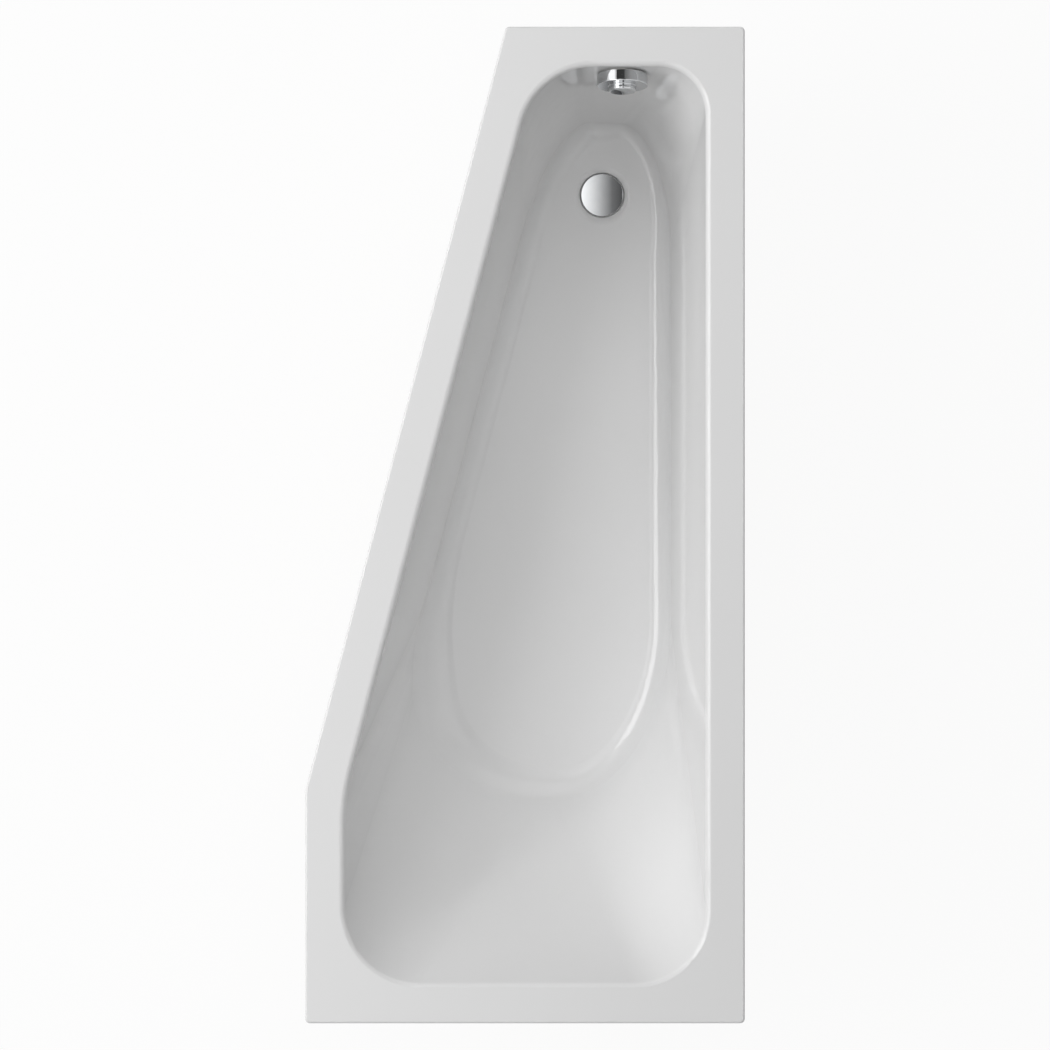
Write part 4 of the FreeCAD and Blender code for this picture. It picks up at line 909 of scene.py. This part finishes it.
def softbox(name, azimuth, elevation, power, mirrored):
    """A square soft lamp that looks at the tub; azimuth runs from +X towards the drain end."""
    lamp = bpy.data.lights.new(name, "AREA")
    lamp.shape = "SQUARE"
    lamp.size = LAMP_SIZE
    lamp.energy = power
    thing = bpy.data.objects.new(name, lamp)
    around = math.radians(azimuth)
    up = math.radians(elevation)
    towards = Vector((math.cos(up) * math.cos(around), math.cos(up) * math.sin(around), math.sin(up)))
    thing.location = LAMP_TARGET + towards * LAMP_DISTANCE
    thing.rotation_euler = (-towards).to_track_quat("-Z", "Y").to_euler()
    thing.visible_camera = False
    thing.visible_glossy = mirrored
    bpy.context.scene.collection.objects.link(thing)
    print("lamp", name, power, "W")


softbox("side_low", azimuth=185, elevation=30, power=200, mirrored=False)
softbox("side_high", azimuth=172, elevation=50, power=205, mirrored=True)
softbox("drain_end", azimuth=90, elevation=50, power=120, mirrored=False)
softbox("above", azimuth=0, elevation=90, power=90, mirrored=False)

# %% [markdown]
# ## Cards for the chrome
# Chrome shows what it mirrors, so a photographer hangs cards where it looks. A graded card overhead
# runs from bright on the left to dark on the right, for the plug. For the knob, a bright card on the
# left draws a white bar. A flag behind the graded card, bent down at its right end, draws the dark bar
# beside it and the grey after that. Only mirrors see the cards; they neither light nor shade.

# %% Cards
CARD_HEIGHT = 6.5
CARD_GLOW = 1.75
GRADES = ((-1.1, "#fafafa"), (-0.43, "#d6d6d6"), (0.25, "#a4a4a4"), (0.93, "#686868"), (1.6, "#4b4b4b"))
FLAG_GRADES = ((-3.1, "#303030"), (1.0, "#363636"), (1.4, "#626262"), (5.0, "#868686"), (9.0, "#929292"))
BAR_GRADES = ((-4.0, "#ffffff"), (-3.0, "#f8f8f8"))
GRADED_SECTION = ((-1.4, CARD_HEIGHT), (1.7, CARD_HEIGHT))
FLAG_SECTION = ((-3.1, CARD_HEIGHT), (6.0, CARD_HEIGHT), (9.0, 1.0))
BAR_SECTION = ((-3.2, 1.9), (-3.2, 5.1))


def card_material(name, grades):
    """A glowing card whose tone runs along X through (place in metres, colour)."""
    material = bpy.data.materials.new(name)
    material.use_nodes = True
    tree = material.node_tree
    tree.nodes.clear()
    place = add_node(tree, "ShaderNodeTexCoord").outputs["Object"]
    along = add_node(tree, "ShaderNodeSeparateXYZ", {"Vector": place}).outputs["X"]
    first = grades[0][0]
    last = grades[-1][0]
    share = add_node(tree, "ShaderNodeMapRange", {"Value": along, "From Min": first, "From Max": last})
    ramp = add_node(tree, "ShaderNodeValToRGB", {"Fac": share.outputs["Result"]})
    stops = ramp.color_ramp.elements
    for metres, colour in grades[1:-1]:
        stops.new((metres - first) / (last - first)).color = linear(colour)
    stops[0].color = linear(grades[0][1])
    stops[-1].color = linear(grades[-1][1])
    glow = add_node(tree, "ShaderNodeEmission", {"Color": ramp.outputs["Color"], "Strength": CARD_GLOW})
    add_node(tree, "ShaderNodeOutputMaterial", {"Surface": glow.outputs[0]})
    return material


def hang_card(name, section, start, end, material):
    """A card whose section, (x, z) in metres, is drawn along Y; only mirrors see it."""
    bm = bmesh.new()
    points = [bm.verts.new((x, start, z)) for x, z in section]
    edges = [bm.edges.new(pair) for pair in zip(points, points[1:])]
    drawn = bmesh.ops.extrude_edge_only(bm, edges=edges)
    moved = [item for item in drawn["geom"] if isinstance(item, bmesh.types.BMVert)]
    bmesh.ops.translate(bm, vec=(0, end - start, 0), verts=moved)
    card = add_stage(name, bm, material)
    card.visible_camera = False
    card.visible_diffuse = False
    card.visible_transmission = False
    card.visible_shadow = False


hang_card("graded_card", GRADED_SECTION, start=-5.0, end=2.8, material=card_material("graded_card", GRADES))
hang_card("knob_flag", FLAG_SECTION, start=2.9, end=4.8, material=card_material("knob_flag", FLAG_GRADES))
hang_card("knob_bar", BAR_SECTION, start=1.95, end=3.2, material=card_material("knob_bar", BAR_GRADES))
print("three cards for the chrome")

# %% [markdown]
# ## The camera
# The tub is looked at from straight above its middle, from far away, so that its walls hardly lean. A
# long lens then frames it as the picture does: so many millimetres of rim for each pixel.

# %% Camera
CAMERA_ABOVE_RIM = 7.5
SENSOR_WIDTH = 36
PIXELS = 1050
MM_PER_PIXEL = 1.7051

camera_data = bpy.data.cameras.new("camera")
camera = bpy.data.objects.new("camera", camera_data)
bpy.context.scene.collection.objects.link(camera)
bpy.context.scene.camera = camera
camera.location = (0, 0, cad_high.z + CAMERA_ABOVE_RIM)
camera_data.sensor_width = SENSOR_WIDTH
camera_data.lens = SENSOR_WIDTH * CAMERA_ABOVE_RIM / (PIXELS * MM_PER_PIXEL * MM)
bpy.context.scene.view_settings.view_transform = "Standard"
print("lens", round(camera_data.lens, 1), "mm")

# %% [markdown]
# ## Sizes and the end
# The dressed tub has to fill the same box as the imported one, so both boxes are written down.

# %% Sizes
low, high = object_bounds()
print("dressed box in mm:", [round(side / MM, 1) for side in high - low])
